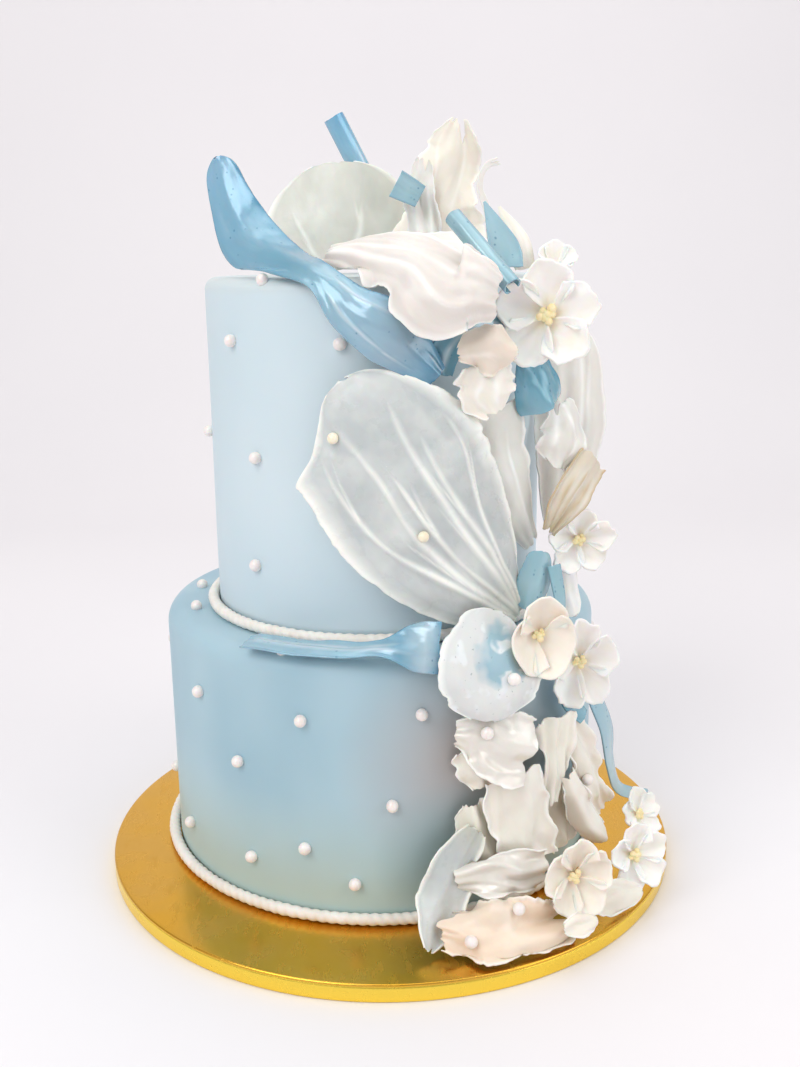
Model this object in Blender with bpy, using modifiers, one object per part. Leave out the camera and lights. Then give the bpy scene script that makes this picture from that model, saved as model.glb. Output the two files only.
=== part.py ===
"""A two-tier wedding cake on a foil drum: pearls, piped borders, and a cascade of sugar sheets and flowers.

The origin is the middle of the drum's underside, +Z is up and -Y is the front. Sizes are in metres.
"""

import math
import random

import bmesh
import bpy
from mathutils import Vector, noise
from mathutils.bvhtree import BVHTree

MM = 0.001
GAP = 0.3 * MM

# Driving sizes
BOARD_RADIUS = 150 * MM
BOARD_HEIGHT = 9 * MM
BOARD_EDGE = 1.2 * MM
BOTTOM_AXIS = Vector((-4 * MM, 11 * MM, 0))
BOTTOM_RADIUS = 113 * MM
BOTTOM_TOP = 138.5 * MM
BOTTOM_EDGE = 9 * MM
TOP_AXIS = Vector((-5 * MM, 5.5 * MM, 0))
TOP_RADIUS = 83.5 * MM
TOP_TOP = 304.5 * MM
TOP_EDGE = 6 * MM
BORDER_SIZE = 6 * MM
BORDER_GAP = 0.36 * MM
BORDER_CLEARANCE = 3.7 * MM
PEARL_RADIUS = 3 * MM
PEARL_SUNK = 1.6 * MM
PEARL_SUNK_IN_SHEET = 0.9 * MM
PEARL_SEARCH = 12 * MM
SHEET_THICKNESS = 1.2 * MM
FLOWER_THICKNESS = 1.4 * MM
TURN_STEPS = 64

# Gap kept between a bent sheet's middle surface and the cake, the step that parts two sheets, and how
# near two corners of a grid lie when they are one
SHEET_CLEARANCE = 1.7 * MM
PART_STEP = 0.5 * MM
PART_LIMIT = 80
WELD = 0.05 * MM

# Half widths in mm: the least that a sheet's folds are counted on, and the one that has folds of full depth
MIN_HALF = 1
FULL_FOLD_HALF = 6

# Share of the even spacing given up so that a sheet's cells crowd toward its ends, and how far the
# waves of its right edge lag behind those of its left
CLOSER_ENDS = 0.5
RUFFLE_LAG = 0.9

# Pearls on the front, as degrees right of the front and mm above the drum or the tier's foot
BOTTOM_PEARLS = [
    (-50, 101), (-18, 100), (10, 104),
    (-36, 73), (3, 60),
    (-59, 24), (-33, 25), (-18, 36), (-6, 20),
]
TOP_PEARLS = [(-50, 138), (-9, 138), (-40, 85), (-42, 33)]

# Pearls on the ledge, as degrees right of the front and mm from the tier's axis, and the one on the top rim
LEDGE_PEARLS = [(-72, 99), (-24, 107), (150, 99), (215, 101), (265, 98)]
LEDGE_DROP = 0.5 * MM
RIM_PEARL_ANGLE = -36
RIM_PEARL_INSET = 2 * MM

COLOURS = {
    "gold foil": (0.86, 0.60, 0.16, 0.35, 0.9),
    "blue fondant": (0.55, 0.67, 0.73, 0.55, 0.0),
    "blue icing": (0.70, 0.80, 0.84, 0.5, 0.0),
    "blue sugar": (0.22, 0.46, 0.57, 0.2, 0.0),
    "white sugar": (0.80, 0.80, 0.77, 0.25, 0.0),
    "cream sugar": (0.87, 0.80, 0.68, 0.45, 0.0),
    "flower paste": (0.93, 0.91, 0.86, 0.55, 0.0),
    "blush paste": (0.86, 0.75, 0.67, 0.55, 0.0),
}


def empty_scene():
    """Removes what the scene holds, so that the model starts from nothing."""
    for thing in list(bpy.data.objects):
        bpy.data.objects.remove(thing)


def material(name):
    """The Principled material of one of the cake's finishes."""
    found = bpy.data.materials.get(name)
    if found:
        return found
    made = bpy.data.materials.new(name)
    made.use_nodes = True
    shader = made.node_tree.nodes["Principled BSDF"]
    red, green, blue, roughness, metallic = COLOURS[name]
    shader.inputs["Base Color"].default_value = (red, green, blue, 1)
    shader.inputs["Roughness"].default_value = roughness
    shader.inputs["Metallic"].default_value = metallic
    made.diffuse_color = (red, green, blue, 1)
    return made


def add_object(name, mesh, finish, location=(0, 0, 0)):
    """Puts a mesh in the cake's collection as a named object."""
    made = bpy.data.objects.new(name, mesh)
    made.location = location
    mesh.materials.append(material(finish))
    bpy.data.collections["wedding_cake"].objects.link(made)
    return made


def turned(name, profile, finish, axis, steps=TURN_STEPS):
    """A solid of revolution about a vertical axis, its profile given from the top middle down to the foot."""
    mesh = bpy.data.meshes.new(name)
    bm = bmesh.new()
    corners = [bm.verts.new((radius, 0, height)) for radius, height in profile]
    for upper, lower in zip(corners, corners[1:]):
        bm.edges.new((upper, lower))
    bm.to_mesh(mesh)
    bm.free()
    made = add_object(name, mesh, finish, axis)
    screw = made.modifiers.new("turned", "SCREW")
    screw.steps = steps
    screw.render_steps = steps
    screw.use_merge_vertices = True
    screw.merge_threshold = WELD
    screw.use_smooth_shade = True
    return made


def rounded(radius, top, foot, edge, arc_steps=3):
    """The profile of a tier or drum with a rounded top edge, from the top middle to the foot's middle."""
    profile = [(0, top)]
    for i in range(arc_steps + 1):
        angle = 0.5 * math.pi * i / arc_steps
        profile.append((radius - edge + edge * math.sin(angle), top - edge + edge * math.cos(angle)))
    profile.append((radius, foot))
    profile.append((0, foot))
    return profile


def pearl(place):
    """One round sugar pearl, ready to be joined to what it lies on."""
    mesh = bpy.data.meshes.new("pearl")
    bm = bmesh.new()
    bmesh.ops.create_uvsphere(bm, u_segments=8, v_segments=4, radius=PEARL_RADIUS)
    bm.to_mesh(mesh)
    bm.free()
    made = bpy.data.objects.new("pearl", mesh)
    made.location = place
    return made


def fuse(body, toppings):
    """Joins small toppings to the solid that they lie on, with one Boolean union."""
    group = bpy.data.collections.new("toppings")
    bpy.context.scene.collection.children.link(group)
    for topping in toppings:
        group.objects.link(topping)
    union = body.modifiers.new("toppings", "BOOLEAN")
    union.operation = "UNION"
    union.operand_type = "COLLECTION"
    union.collection = group
    union.solver = "EXACT"
    graph = bpy.context.evaluated_depsgraph_get()
    joined = bpy.data.meshes.new_from_object(body.evaluated_get(graph))
    body.modifiers.clear()
    body.data = joined
    for topping in toppings:
        bpy.data.objects.remove(topping)
    bpy.data.collections.remove(group)


def round_axis(axis, reach, angle, level):
    """A place at a distance from a tier's axis, at degrees right of the front and at a height."""
    turn = math.radians(angle)
    return axis + Vector((reach * math.sin(turn), -reach * math.cos(turn), level))


def wall_pearls(axis, radius, foot, places):
    """Pearls pressed into a tier's wall, at degrees right of the front and mm above its foot."""
    reach = radius + PEARL_RADIUS - PEARL_SUNK
    return [pearl(round_axis(axis, reach, angle, foot + height * MM)) for angle, height in places]


def back_pearls(rows, start, end, spacing, seed):
    """Scattered places for the pearls round the back: staggered rows, each pearl a little off its place."""
    draw = random.Random(seed)
    places = []
    for row, height in enumerate(rows):
        angle = start + spacing * (0.5 if row % 2 else 0)
        while angle < end:
            places.append((angle + draw.uniform(-6, 6), height + draw.uniform(-7, 7)))
            angle += spacing
    return places


def drum():
    """The foil-covered drum that the cake is built on."""
    foot_edge = [(BOARD_RADIUS, BOARD_EDGE), (BOARD_RADIUS - BOARD_EDGE, 0), (0, 0)]
    profile = rounded(BOARD_RADIUS, BOARD_HEIGHT, BOARD_EDGE, BOARD_EDGE, arc_steps=1)[:-2] + foot_edge
    turned("board", profile, "gold foil", (0, 0, 0))


def bottom_tier():
    """The wide lower tier, with pearls pressed into its wall and its ledge."""
    foot = BOARD_HEIGHT + GAP
    profile = rounded(BOTTOM_RADIUS, BOTTOM_TOP, foot, BOTTOM_EDGE)
    tier = turned("bottom_tier", profile, "blue fondant", BOTTOM_AXIS)
    places = BOTTOM_PEARLS + back_pearls((28, 64, 100), 96, 296, 58, seed=4)
    pearls = wall_pearls(BOTTOM_AXIS, BOTTOM_RADIUS, BOARD_HEIGHT, places)
    for angle, reach in LEDGE_PEARLS:
        level = BOTTOM_TOP + PEARL_RADIUS - PEARL_SUNK
        if reach * MM > BOTTOM_RADIUS - BOTTOM_EDGE:
            level -= LEDGE_DROP
        pearls.append(pearl(round_axis(BOTTOM_AXIS, reach * MM, angle, level)))
    fuse(tier, pearls)


def top_tier():
    """The narrow upper tier, with pearls pressed into its wall and its rim."""
    foot = BOTTOM_TOP + GAP
    tier = turned("top_tier", rounded(TOP_RADIUS, TOP_TOP, foot, TOP_EDGE), "blue fondant", TOP_AXIS)
    places = TOP_PEARLS + back_pearls((38, 92, 142), 105, 290, 72, seed=9)
    pearls = wall_pearls(TOP_AXIS, TOP_RADIUS, BOTTOM_TOP, places)
    rim_reach = TOP_RADIUS - RIM_PEARL_INSET
    pearls.append(pearl(round_axis(TOP_AXIS, rim_reach, RIM_PEARL_ANGLE, TOP_TOP - LEDGE_DROP)))
    fuse(tier, pearls)


def border(name, axis, radius, foot):
    """The line of piping round a tier's foot, a bead with a flat back and a flat underside."""
    inner = radius + BORDER_GAP
    level = foot + GAP
    size = BORDER_SIZE
    profile = [
        (inner, level + size),
        (inner + 0.7 * size, level + 0.85 * size),
        (inner + size, level + 0.2 * size),
        (inner, level),
        (inner, level + size),
    ]
    turned(name, profile, "blue icing", axis)


def along_rows(rows, share):
    """The values at a share of the way along a smooth curve through the rows."""
    spans = len(rows) - 1
    at = min(max(share, 0), 0.999999) * spans
    first = int(at)
    t = at - first
    before = rows[max(first - 1, 0)]
    start = rows[first]
    end = rows[first + 1]
    after = rows[min(first + 2, spans)]
    values = []
    for a, b, c, d in zip(before, start, end, after):
        bend = (c - a) * t + (2 * a - 5 * b + 4 * c - d) * t * t + (3 * b - a - 3 * c + d) * t ** 3
        values.append(b + 0.5 * bend)
    return values


def facing(turn, tilt):
    """The direction that a face looks in: degrees right of the front, and degrees up."""
    turn = math.radians(turn)
    tilt = math.radians(tilt)
    return Vector((math.sin(turn) * math.cos(tilt), -math.cos(turn) * math.cos(tilt), math.sin(tilt)))


def off_tier(place, axis, radius, top, edge):
    """Moves a place out of a tier until it is clear of the tier's rounded surface."""
    flat = Vector((place.x - axis.x, place.y - axis.y, 0))
    reach = max(flat.length, 1e-6)
    across = reach - (radius - edge)
    above = place.z - (top - edge)
    outside = math.hypot(max(across, 0), max(above, 0))
    clear = SHEET_CLEARANCE - (outside + min(max(across, above), 0) - edge)
    if clear <= 0:
        return place
    if across > 0 and above > 0:
        push = (flat / reach * across + Vector((0, 0, above))).normalized()
    elif across > above:
        push = flat / reach
    else:
        push = Vector((0, 0, 1))
    return place + push * clear


def off_border(place, axis, radius, foot):
    """Moves a place out of the piping round a tier's foot."""
    flat = Vector((place.x - axis.x, place.y - axis.y, 0))
    reach = max(flat.length, 1e-6)
    middle = axis + flat / reach * (radius + 0.5 * BORDER_SIZE)
    middle.z = foot + 0.5 * BORDER_SIZE
    away = place - middle
    clear = BORDER_CLEARANCE + SHEET_CLEARANCE - away.length
    if clear <= 0:
        return place
    return place + away.normalized() * clear


def off_cake(place):
    """Moves a place out of the tiers, their borders and the drum, as a sheet pressed on them would lie."""
    place = off_border(place, BOTTOM_AXIS, BOTTOM_RADIUS, BOARD_HEIGHT)
    place = off_border(place, TOP_AXIS, TOP_RADIUS, BOTTOM_TOP)
    place = off_tier(place, BOTTOM_AXIS, BOTTOM_RADIUS, BOTTOM_TOP, BOTTOM_EDGE)
    place = off_tier(place, TOP_AXIS, TOP_RADIUS, TOP_TOP, TOP_EDGE)
    lowest = BOARD_HEIGHT + SHEET_CLEARANCE
    return Vector((place.x, place.y, max(place.z, lowest)))


def sheet_place(rows, form, share, side):
    """A place on a bent sheet, at a share of its length and from -1 to 1 across it, with the way it faces."""
    x, y, z, half, turn, tilt = along_rows(rows, share)
    ahead = along_rows(rows, share + 0.02)
    behind = along_rows(rows, share - 0.02)
    course = (Vector(ahead[:3]) - Vector(behind[:3])).normalized()
    right = course.cross(facing(turn, tilt)).normalized()
    face = right.cross(course)
    full_half = max(half, MIN_HALF)
    round_end = form.get("round_end", 0)
    round_start = form.get("round_start", 0)
    if round_end and share > 1 - round_end:
        half *= math.sqrt(max(1 - ((share - 1 + round_end) / round_end) ** 2, 0))
    if round_start and share < round_start:
        half *= math.sqrt(max(1 - (1 - share / round_start) ** 2, 0))
    lobe_at, lobe_side, growth, breadth = form.get("lobe", (0, 1, 0, 1))
    if side * lobe_side > 0:
        half *= 1 + growth * math.exp(-((share - lobe_at) / breadth) ** 2)
    jag, seed = form.get("jag", (0, 0))
    half *= 1 + jag * noise.noise(Vector((6 * share, 9 * seed, 3 if side > 0 else 0)))
    half = max(half, 0)
    curl = math.radians(form.get("curl", 5))
    across = half * math.sin(curl * side) / curl
    rise = -half * (1 - math.cos(curl * side)) / curl
    ruffle, waves = form.get("ruffle", (0, 1))
    lift = RUFFLE_LAG if side > 0 else 0
    rise += ruffle * abs(side) ** 1.5 * math.sin(2 * math.pi * waves * share + lift)
    fold, folds = form.get("pleat", (0, 1))
    rise += fold * min(1, half / FULL_FOLD_HALF) * math.cos(math.pi * folds * side * half / full_half)
    return (Vector((x, y, z)) + right * across + face * rise) * MM, face


def bent_grid(name, finish, cells, place_at, centre, thickness):
    """A thin solid from a flat grid, each of its corners moved to where the rule puts it."""
    mesh = bpy.data.meshes.new(name)
    bm = bmesh.new()
    bmesh.ops.create_grid(bm, x_segments=cells[0], y_segments=cells[1], size=1)
    for corner in bm.verts:
        corner.co = off_cake(place_at(0.5 + 0.5 * corner.co.x, corner.co.y)) - centre
    bmesh.ops.remove_doubles(bm, verts=bm.verts, dist=WELD)
    bmesh.ops.triangulate(bm, faces=bm.faces, quad_method="FIXED")
    bm.to_mesh(mesh)
    bm.free()
    mesh.shade_smooth()
    made = add_object(name, mesh, finish, centre)
    shell = made.modifiers.new("thickness", "SOLIDIFY")
    shell.thickness = thickness
    shell.offset = 0
    return made


def solid_tree(thing, shift=Vector((0, 0, 0))):
    """A search tree of an object's finished surface in the cake's frame, moved by a shift."""
    graph = bpy.context.evaluated_depsgraph_get()
    mesh = thing.evaluated_get(graph).to_mesh()
    corners = [thing.location + corner.co + shift for corner in mesh.vertices]
    faces = [tuple(face.vertices) for face in mesh.polygons]
    return BVHTree.FromPolygons(corners, faces)


def part_from_others(made, away, placed):
    """Moves a new piece away from the cake by small steps until it crosses nothing placed before it."""
    shift = Vector((0, 0, 0))
    for _ in range(PART_LIMIT):
        tree = solid_tree(made, shift)
        if not any(tree.overlap(other) for other in placed):
            break
        shift += away * PART_STEP
    made.location += shift
    bpy.context.view_layer.update()
    placed.append(solid_tree(made))


def sheet(placed, name, finish, rows, cells=(8, 3), pearls=(), **form):
    """A sugar sheet: rows of x, y, z and half width in mm, then the degrees that it faces right and up."""
    middle = along_rows(rows, 0.5)
    centre = Vector(middle[:3]) * MM

    def place_at(share, side):
        share += CLOSER_ENDS * (0.5 - 0.5 * math.cos(math.pi * share) - share)
        return sheet_place(rows, form, share, side)[0]

    made = bent_grid(name, finish, cells, place_at, centre, SHEET_THICKNESS)
    if pearls:
        surface = solid_tree(made)
        toppings = []
        for share, side in pearls:
            place, face = sheet_place(rows, form, share, side)
            lies_at = surface.ray_cast(place + face * PEARL_SEARCH, -face)[0]
            toppings.append(pearl(lies_at + face * (PEARL_RADIUS - PEARL_SUNK_IN_SHEET)))
        fuse(made, toppings)
    part_from_others(made, facing(middle[4], middle[5]), placed)


def flower(placed, name, centre, radius, turn, tilt, finish="flower paste", cells=(25, 3), **form):
    """A sugar flower pressed from one round of paste: notched petals, each cupped, round a sunken middle."""
    petals = form.get("petals", 5)
    notch = form.get("notch", 0.35)
    cup = form.get("cup", 0.45)
    stretch = form.get("stretch", 1)
    wave = form.get("wave", 0.08)
    face = facing(turn, tilt)
    right = Vector((0, 0, 1)).cross(face).normalized()
    up = face.cross(right)
    middle = Vector(centre) * MM

    def place_at(share, side):
        angle = 2 * math.pi * share
        reach = 0.5 + 0.5 * side
        petal = abs(math.cos(0.5 * petals * angle))
        span = radius * MM * (1 - notch * (1 - petal) ** 1.5) * reach
        rise = radius * MM * (cup * reach ** 1.6 + wave * reach * math.cos(petals * angle))
        out = up * math.cos(angle) * stretch - right * math.sin(angle)
        return middle + out * span + face * rise

    made = bent_grid(name, finish, cells, place_at, middle, FLOWER_THICKNESS)
    part_from_others(made, face, placed)


def shoulder_pieces(placed):
    """The shell, loop, leaf and blooms that hang at the top tier's shoulder."""
    sheet(placed, "cream_backing", "cream sugar", [
        (71, -48, 178, 5, 38, 0),
        (63, -60, 198, 12, 34, 0),
        (56, -68, 217, 16, 30, 0),
        (51, -72, 233, 19, 27, 0),
        (48, -74, 247, 19, 25, 5),
    ], cells=(6, 4), curl=30, pleat=(1, 3), jag=(0.1, 4))
    sheet(placed, "cream_shell", "cream sugar", [
        (82, -36, 184, 5, 28, 0),
        (88, -36, 204, 15, 22, 0),
        (92, -33, 226, 20, 20, 0),
        (93, -29, 248, 20, 20, 5),
        (93, -25, 268, 15, 20, 10),
        (90, -22, 284, 8, 20, 10),
    ], cells=(8, 5), round_end=0.2, curl=38, pleat=(1.2, 4))
    sheet(placed, "ribbon_loop", "blue sugar", [
        (25, -80, 263, 6, 10, 0),
        (29, -82, 275, 7, 15, 0),
        (39, -80, 283, 6, 25, 10),
        (52, -74, 284, 5, 35, 10),
        (63, -66, 276, 6, 40, 0),
    ], cells=(10, 2), curl=15)
    sheet(placed, "glossy_leaf", "blue sugar", [
        (66, -68, 273, 9, 35, 0),
        (71, -68, 259, 14, 35, 0),
        (75, -64, 246, 13, 35, -5),
    ], cells=(6, 4), round_start=0.3, curl=45)
    sheet(placed, "blush_bloom", "blush paste", [
        (44, -86, 268, 10, 8, 0),
        (45, -88, 261, 14, 8, 0),
        (46, -88, 253, 13, 8, 0),
        (49, -87, 246, 5, 8, 0),
    ], cells=(6, 5), curl=35, ruffle=(1.5, 2), pleat=(1, 2), jag=(0.25, 6))
    sheet(placed, "blush_crown", "blush paste", [
        (32, -89, 271, 5, 5, 10),
        (39, -91, 274, 10, 8, 10),
        (48, -91, 274, 12, 12, 10),
        (58, -89, 273, 6, 15, 10),
    ], cells=(6, 4), round_start=0.3, round_end=0.3, curl=45, ruffle=(2, 2), jag=(0.25, 3))
    flower(placed, "shoulder_flower", (74, -64, 287), 23, -8, 5, cells=(25, 3),
           cup=0.35, notch=0.36, wave=0.12)
    flower(placed, "crown_bud", (79, -44, 306), 9, 10, 50, cells=(16, 2), petals=4, cup=1.1, notch=0.25)


def crown_pieces(placed):
    """The sheets, straws and sails that stand on the top tier."""
    sheet(placed, "round_leaf", "white sugar", [
        (-21, 26, 307, 20, -5, 15),
        (-22, 29, 320, 37, -5, 15),
        (-23, 32, 338, 42, -5, 12),
        (-25, 36, 361, 38, -5, 5),
    ], cells=(7, 5), round_end=0.45, curl=25, ruffle=(1.5, 1))
    sheet(placed, "tall_straw", "blue sugar", [
        (15, 48, 307, 13, 0, 0),
        (-5, 46, 345, 13, 0, 0),
        (-25, 44, 384, 13, 0, 0),
    ], cells=(1, 8), curl=145)
    sheet(placed, "feather", "cream sugar", [
        (33, 17, 307, 20, 0, 10),
        (31, 18, 323, 23, 5, 8),
        (30, 20, 338, 20, 0, 5),
        (33, 22, 352, 17, 5, 0),
        (37, 24, 366, 15, 10, 0),
        (39, 25, 380, 4, 10, 0),
    ], cells=(9, 4), curl=30, ruffle=(2, 2.2), pleat=(1.2, 3), jag=(0.3, 5))
    sheet(placed, "crumpled_lobe", "cream sugar", [
        (24, 8, 307, 10, -10, 5),
        (21, 9, 326, 9, -5, 5),
        (19, 10, 345, 8, -5, 5),
        (21, 11, 361, 4, 0, 0),
    ], cells=(6, 3), curl=40, ruffle=(1.5, 2), jag=(0.2, 4))
    sheet(placed, "small_tile", "blue sugar", [
        (7, 3, 348, 7, 0, 5),
        (19, 2, 341.5, 5.5, 0, 5),
    ], cells=(1, 1))
    sheet(placed, "tendril", "white sugar", [
        (53, 10, 307, 2.5, 10, 0),
        (54, 11, 330, 2, 10, 0),
        (49, 13, 346, 1.6, 10, 0),
        (52, 14, 356, 1.6, 10, 0),
        (59, 15, 359, 2, 10, 0),
    ], cells=(12, 1))
    sheet(placed, "back_ruffle", "white sugar", [
        (1, -6, 312, 7, -10, 30),
        (24, -8, 317, 12, 0, 30),
        (45, -14, 315, 10, 10, 30),
        (57, -28, 308, 4, 20, 30),
    ], cells=(7, 3), curl=35, ruffle=(2, 2))
    sheet(placed, "yellow_leaf", "cream sugar", [
        (66, -46, 307, 5, 20, 5),
        (62, -44, 320, 6, 15, 5),
        (54, -38, 335, 0.5, 10, 5),
    ], cells=(5, 2), curl=20)
    sheet(placed, "flat_blade", "blue sugar", [
        (57, -58, 308, 7, 10, 10),
        (55, -53, 318, 7, 10, 10),
        (47, -42, 337, 0.5, 10, 10),
    ], cells=(5, 2), curl=15)
    sheet(placed, "pearl_sail", "blue sugar", [
        (-76, -20, 357, 8, -20, 10),
        (-71, -24, 338, 12, -18, 8),
        (-62, -36, 321, 15, -10, 20),
        (-45, -55, 312, 12, 0, 45),
        (-26, -78, 304, 8, -5, 45),
        (-12, -88, 290, 12, 0, 10),
        (3, -92, 280, 15, 5, 0),
        (15, -90, 270, 11, 15, 0),
        (25, -87, 261, 5, 25, 0),
    ], cells=(16, 4), round_start=0.07, curl=40, pleat=(1, 2))
    sheet(placed, "front_sail", "white sugar", [
        (-25, -53, 313, 6, -15, 45),
        (-12, -64, 315, 13, 0, 40),
        (2, -74, 313, 17, 5, 35),
        (15, -84, 309, 19, 8, 30),
        (27, -93, 299, 25, 12, 20),
        (38, -96, 298, 18, 18, 15),
        (49, -92, 294, 11, 25, 10),
    ], cells=(10, 6), curl=35, pleat=(1.4, 5), jag=(0.18, 2))
    sheet(placed, "rolled_stick", "blue sugar", [
        (55, -80, 302, 10, 0, 0),
        (43, -66, 317, 10, 0, 0),
        (31, -52, 332, 10, 0, 0),
    ], cells=(1, 8), curl=150)


def fan_pieces(placed):
    """The great veined petal over the top tier, and the flowers down its right side."""
    sheet(placed, "great_petal", "white sugar", [
        (62, -59, 147, 7, 40, 10),
        (48, -76, 168, 27, 30, 5),
        (31, -87, 189, 38, 20, 0),
        (16, -93, 208, 43, 12, 0),
        (4, -94, 227, 43, 6, 0),
        (-7, -92, 245, 38, 0, 0),
        (-19, -86, 262, 30, -6, 5),
    ], cells=(11, 8), round_end=0.36, curl=32, pleat=(1.2, 5), lobe=(0.78, -1, 0.22, 0.06),
        pearls=[(0.43, -0.2), (0.86, -0.55)])
    sheet(placed, "shell_crumple", "cream sugar", [
        (80, -58, 247, 7, 30, 5),
        (84, -58, 237, 13, 28, 0),
        (84, -59, 226, 13, 30, 0),
        (81, -60, 216, 6, 32, 0),
    ], cells=(5, 5), curl=35, ruffle=(2, 2), pleat=(1.5, 3), jag=(0.25, 7))
    sheet(placed, "tan_pleats", "cream sugar", [
        (74, -58, 187, 4, 30, 0),
        (84, -55, 203, 10, 30, 0),
        (97, -47, 221, 9, 30, 0),
    ], cells=(4, 6), pleat=(1.6, 4))
    sheet(placed, "side_cup", "flower paste", [
        (87, -46, 173, 6, 35, 0),
        (90, -47, 155, 9, 30, 5),
        (92, -48, 141, 8, 30, 0),
    ], cells=(5, 4), round_start=0.3, round_end=0.3, curl=60)
    sheet(placed, "blue_leaf", "blue sugar", [
        (73, -60, 178, 7, 32, 5),
        (70, -63, 163, 10, 28, 0),
        (67, -64, 150, 7, 26, 0),
    ], cells=(5, 3), round_start=0.15, round_end=0.2, curl=40)
    sheet(placed, "blue_strip", "blue sugar", [
        (79, -60, 171, 4, 35, 0),
        (82, -62, 154, 3.5, 35, 0),
        (82, -63, 141, 2, 35, 0),
    ], cells=(5, 2), curl=25)
    flower(placed, "side_flower", (93, -46, 180), 16, 8, 0, cells=(20, 3), notch=0.42, wave=0.1)


def ledge_pieces(placed):
    """The ribbon, disc and orchids where the tiers meet."""
    sheet(placed, "ledge_ribbon", "blue sugar", [
        (-64, -79, 140, 8, 0, 85),
        (-42, -90, 141, 9, 0, 85),
        (-20, -99, 142, 7, 0, 80),
        (-3, -104, 144, 5, 10, 60),
        (12, -106, 145, 11, 15, 30),
        (24, -106, 144, 12, 20, 15),
    ], cells=(12, 3), curl=25)
    sheet(placed, "translucent_disc", "white sugar", [
        (53, -86, 156, 12, 25, 20),
        (50, -99, 148, 22, 22, 20),
        (48, -107, 137, 26, 20, 5),
        (48, -109, 124, 24, 18, -5),
        (47, -107, 112, 15, 18, -8),
    ], cells=(9, 8), round_end=0.2, round_start=0.15, curl=30, pearls=[(0.6, -0.32)])
    flower(placed, "cream_orchid", (68, -93, 148.5), 15, 12, 0, "blush paste", cells=(24, 3),
           petals=3, notch=0.25, cup=0.6, stretch=1.35, wave=0.15)
    flower(placed, "ledge_flower", (91, -68, 126), 17, 10, 0, cells=(20, 3), notch=0.4, stretch=1.3, wave=0.1)
    sheet(placed, "dark_ribbon", "blue sugar", [
        (84, -70, 117, 3, 40, 0),
        (87, -70, 107, 5, 45, 0),
        (96, -62, 94, 4, 50, 0),
    ], cells=(5, 2), curl=30)
    sheet(placed, "falling_ribbon", "blue sugar", [
        (100, -56, 106, 5, 55, 0),
        (110, -47, 82, 5.5, 50, 0),
        (114, -39, 59, 4, 55, 0),
        (122, -26, 38, 3.5, 30, 30),
        (140, -14, 28, 3, 10, 30),
    ], cells=(12, 2), curl=20)


def lower_pieces(placed):
    """The folded and torn sheets that run down the bottom tier's front."""
    sheet(placed, "left_chip", "white sugar", [
        (38, -99, 98, 8, 12, 0),
        (42, -101, 88, 12, 15, 0),
        (45, -100, 77, 7, 18, 0),
    ], cells=(5, 3), curl=25, ruffle=(1.5, 2), jag=(0.2, 3))
    sheet(placed, "torn_sheet", "cream sugar", [
        (41, -99, 70, 8, 15, 5),
        (43, -101, 58, 13, 18, 5),
        (46, -104, 46, 16, 20, 8),
        (49, -107, 36, 16, 20, 10),
    ], cells=(7, 4), curl=30, ruffle=(1.5, 2), jag=(0.25, 7))
    sheet(placed, "hollow_sheet", "cream sugar", [
        (80, -74, 64, 9, 35, 0),
        (84, -72, 47, 12, 38, 0),
        (87, -72, 31, 10, 40, 0),
    ], cells=(5, 3), curl=30, jag=(0.1, 8))
    sheet(placed, "side_strip", "white sugar", [
        (86, -68, 97, 9, 38, 0),
        (91, -66, 83, 11, 38, 0),
        (97, -61, 67, 12, 42, 0),
        (103, -54, 50, 10, 46, 0),
        (109, -46, 36, 6, 50, 0),
    ], cells=(8, 4), curl=35, ruffle=(1, 1.5), jag=(0.15, 4), pearls=[(0.5, 0.5)])
    sheet(placed, "middle_strip", "cream sugar", [
        (80, -84, 104, 13, 35, 10),
        (80, -85, 90, 11, 35, 0),
        (79, -85, 75, 9, 35, 0),
        (77, -86, 60, 6, 35, 0),
    ], cells=(7, 4), curl=38, pleat=(1, 2), jag=(0.15, 6))
    sheet(placed, "long_sheet", "white sugar", [
        (57, -100, 84, 15, 24, 0),
        (60, -101, 68, 17, 24, 3),
        (64, -101, 52, 16, 26, 5),
        (68, -102, 38, 14, 28, 8),
    ], cells=(8, 4), curl=26, pleat=(0.8, 2), jag=(0.12, 8))
    sheet(placed, "folded_sheet", "cream sugar", [
        (30, -106, 105, 6, 8, 8),
        (38, -110, 105, 11, 14, 12),
        (47, -111, 102, 16, 20, 14),
        (57, -109, 98, 18, 27, 12),
        (67, -103, 94, 18, 34, 8),
    ], cells=(8, 6), curl=38, pleat=(1, 3), jag=(0.15, 9), pearls=[(0.4, -0.3)])
    sheet(placed, "rolled_sheet", "white sugar", [
        (84, -80, 74, 6, 32, 5),
        (90, -79, 61, 9, 35, 5),
        (97, -74, 46, 10, 38, 8),
        (105, -66, 34, 7, 40, 10),
    ], cells=(7, 4), curl=70, jag=(0.12, 3))
    sheet(placed, "pointed_sail", "cream sugar", [
        (40, -103, 60, 5, 10, 0),
        (31, -106, 45, 10, 8, 3),
        (25, -110, 31, 12, 5, 5),
        (21, -116, 20, 10, 5, 8),
        (17, -126, 12, 2, 5, 10),
    ], cells=(8, 4), curl=25, jag=(0.1, 2))


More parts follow.
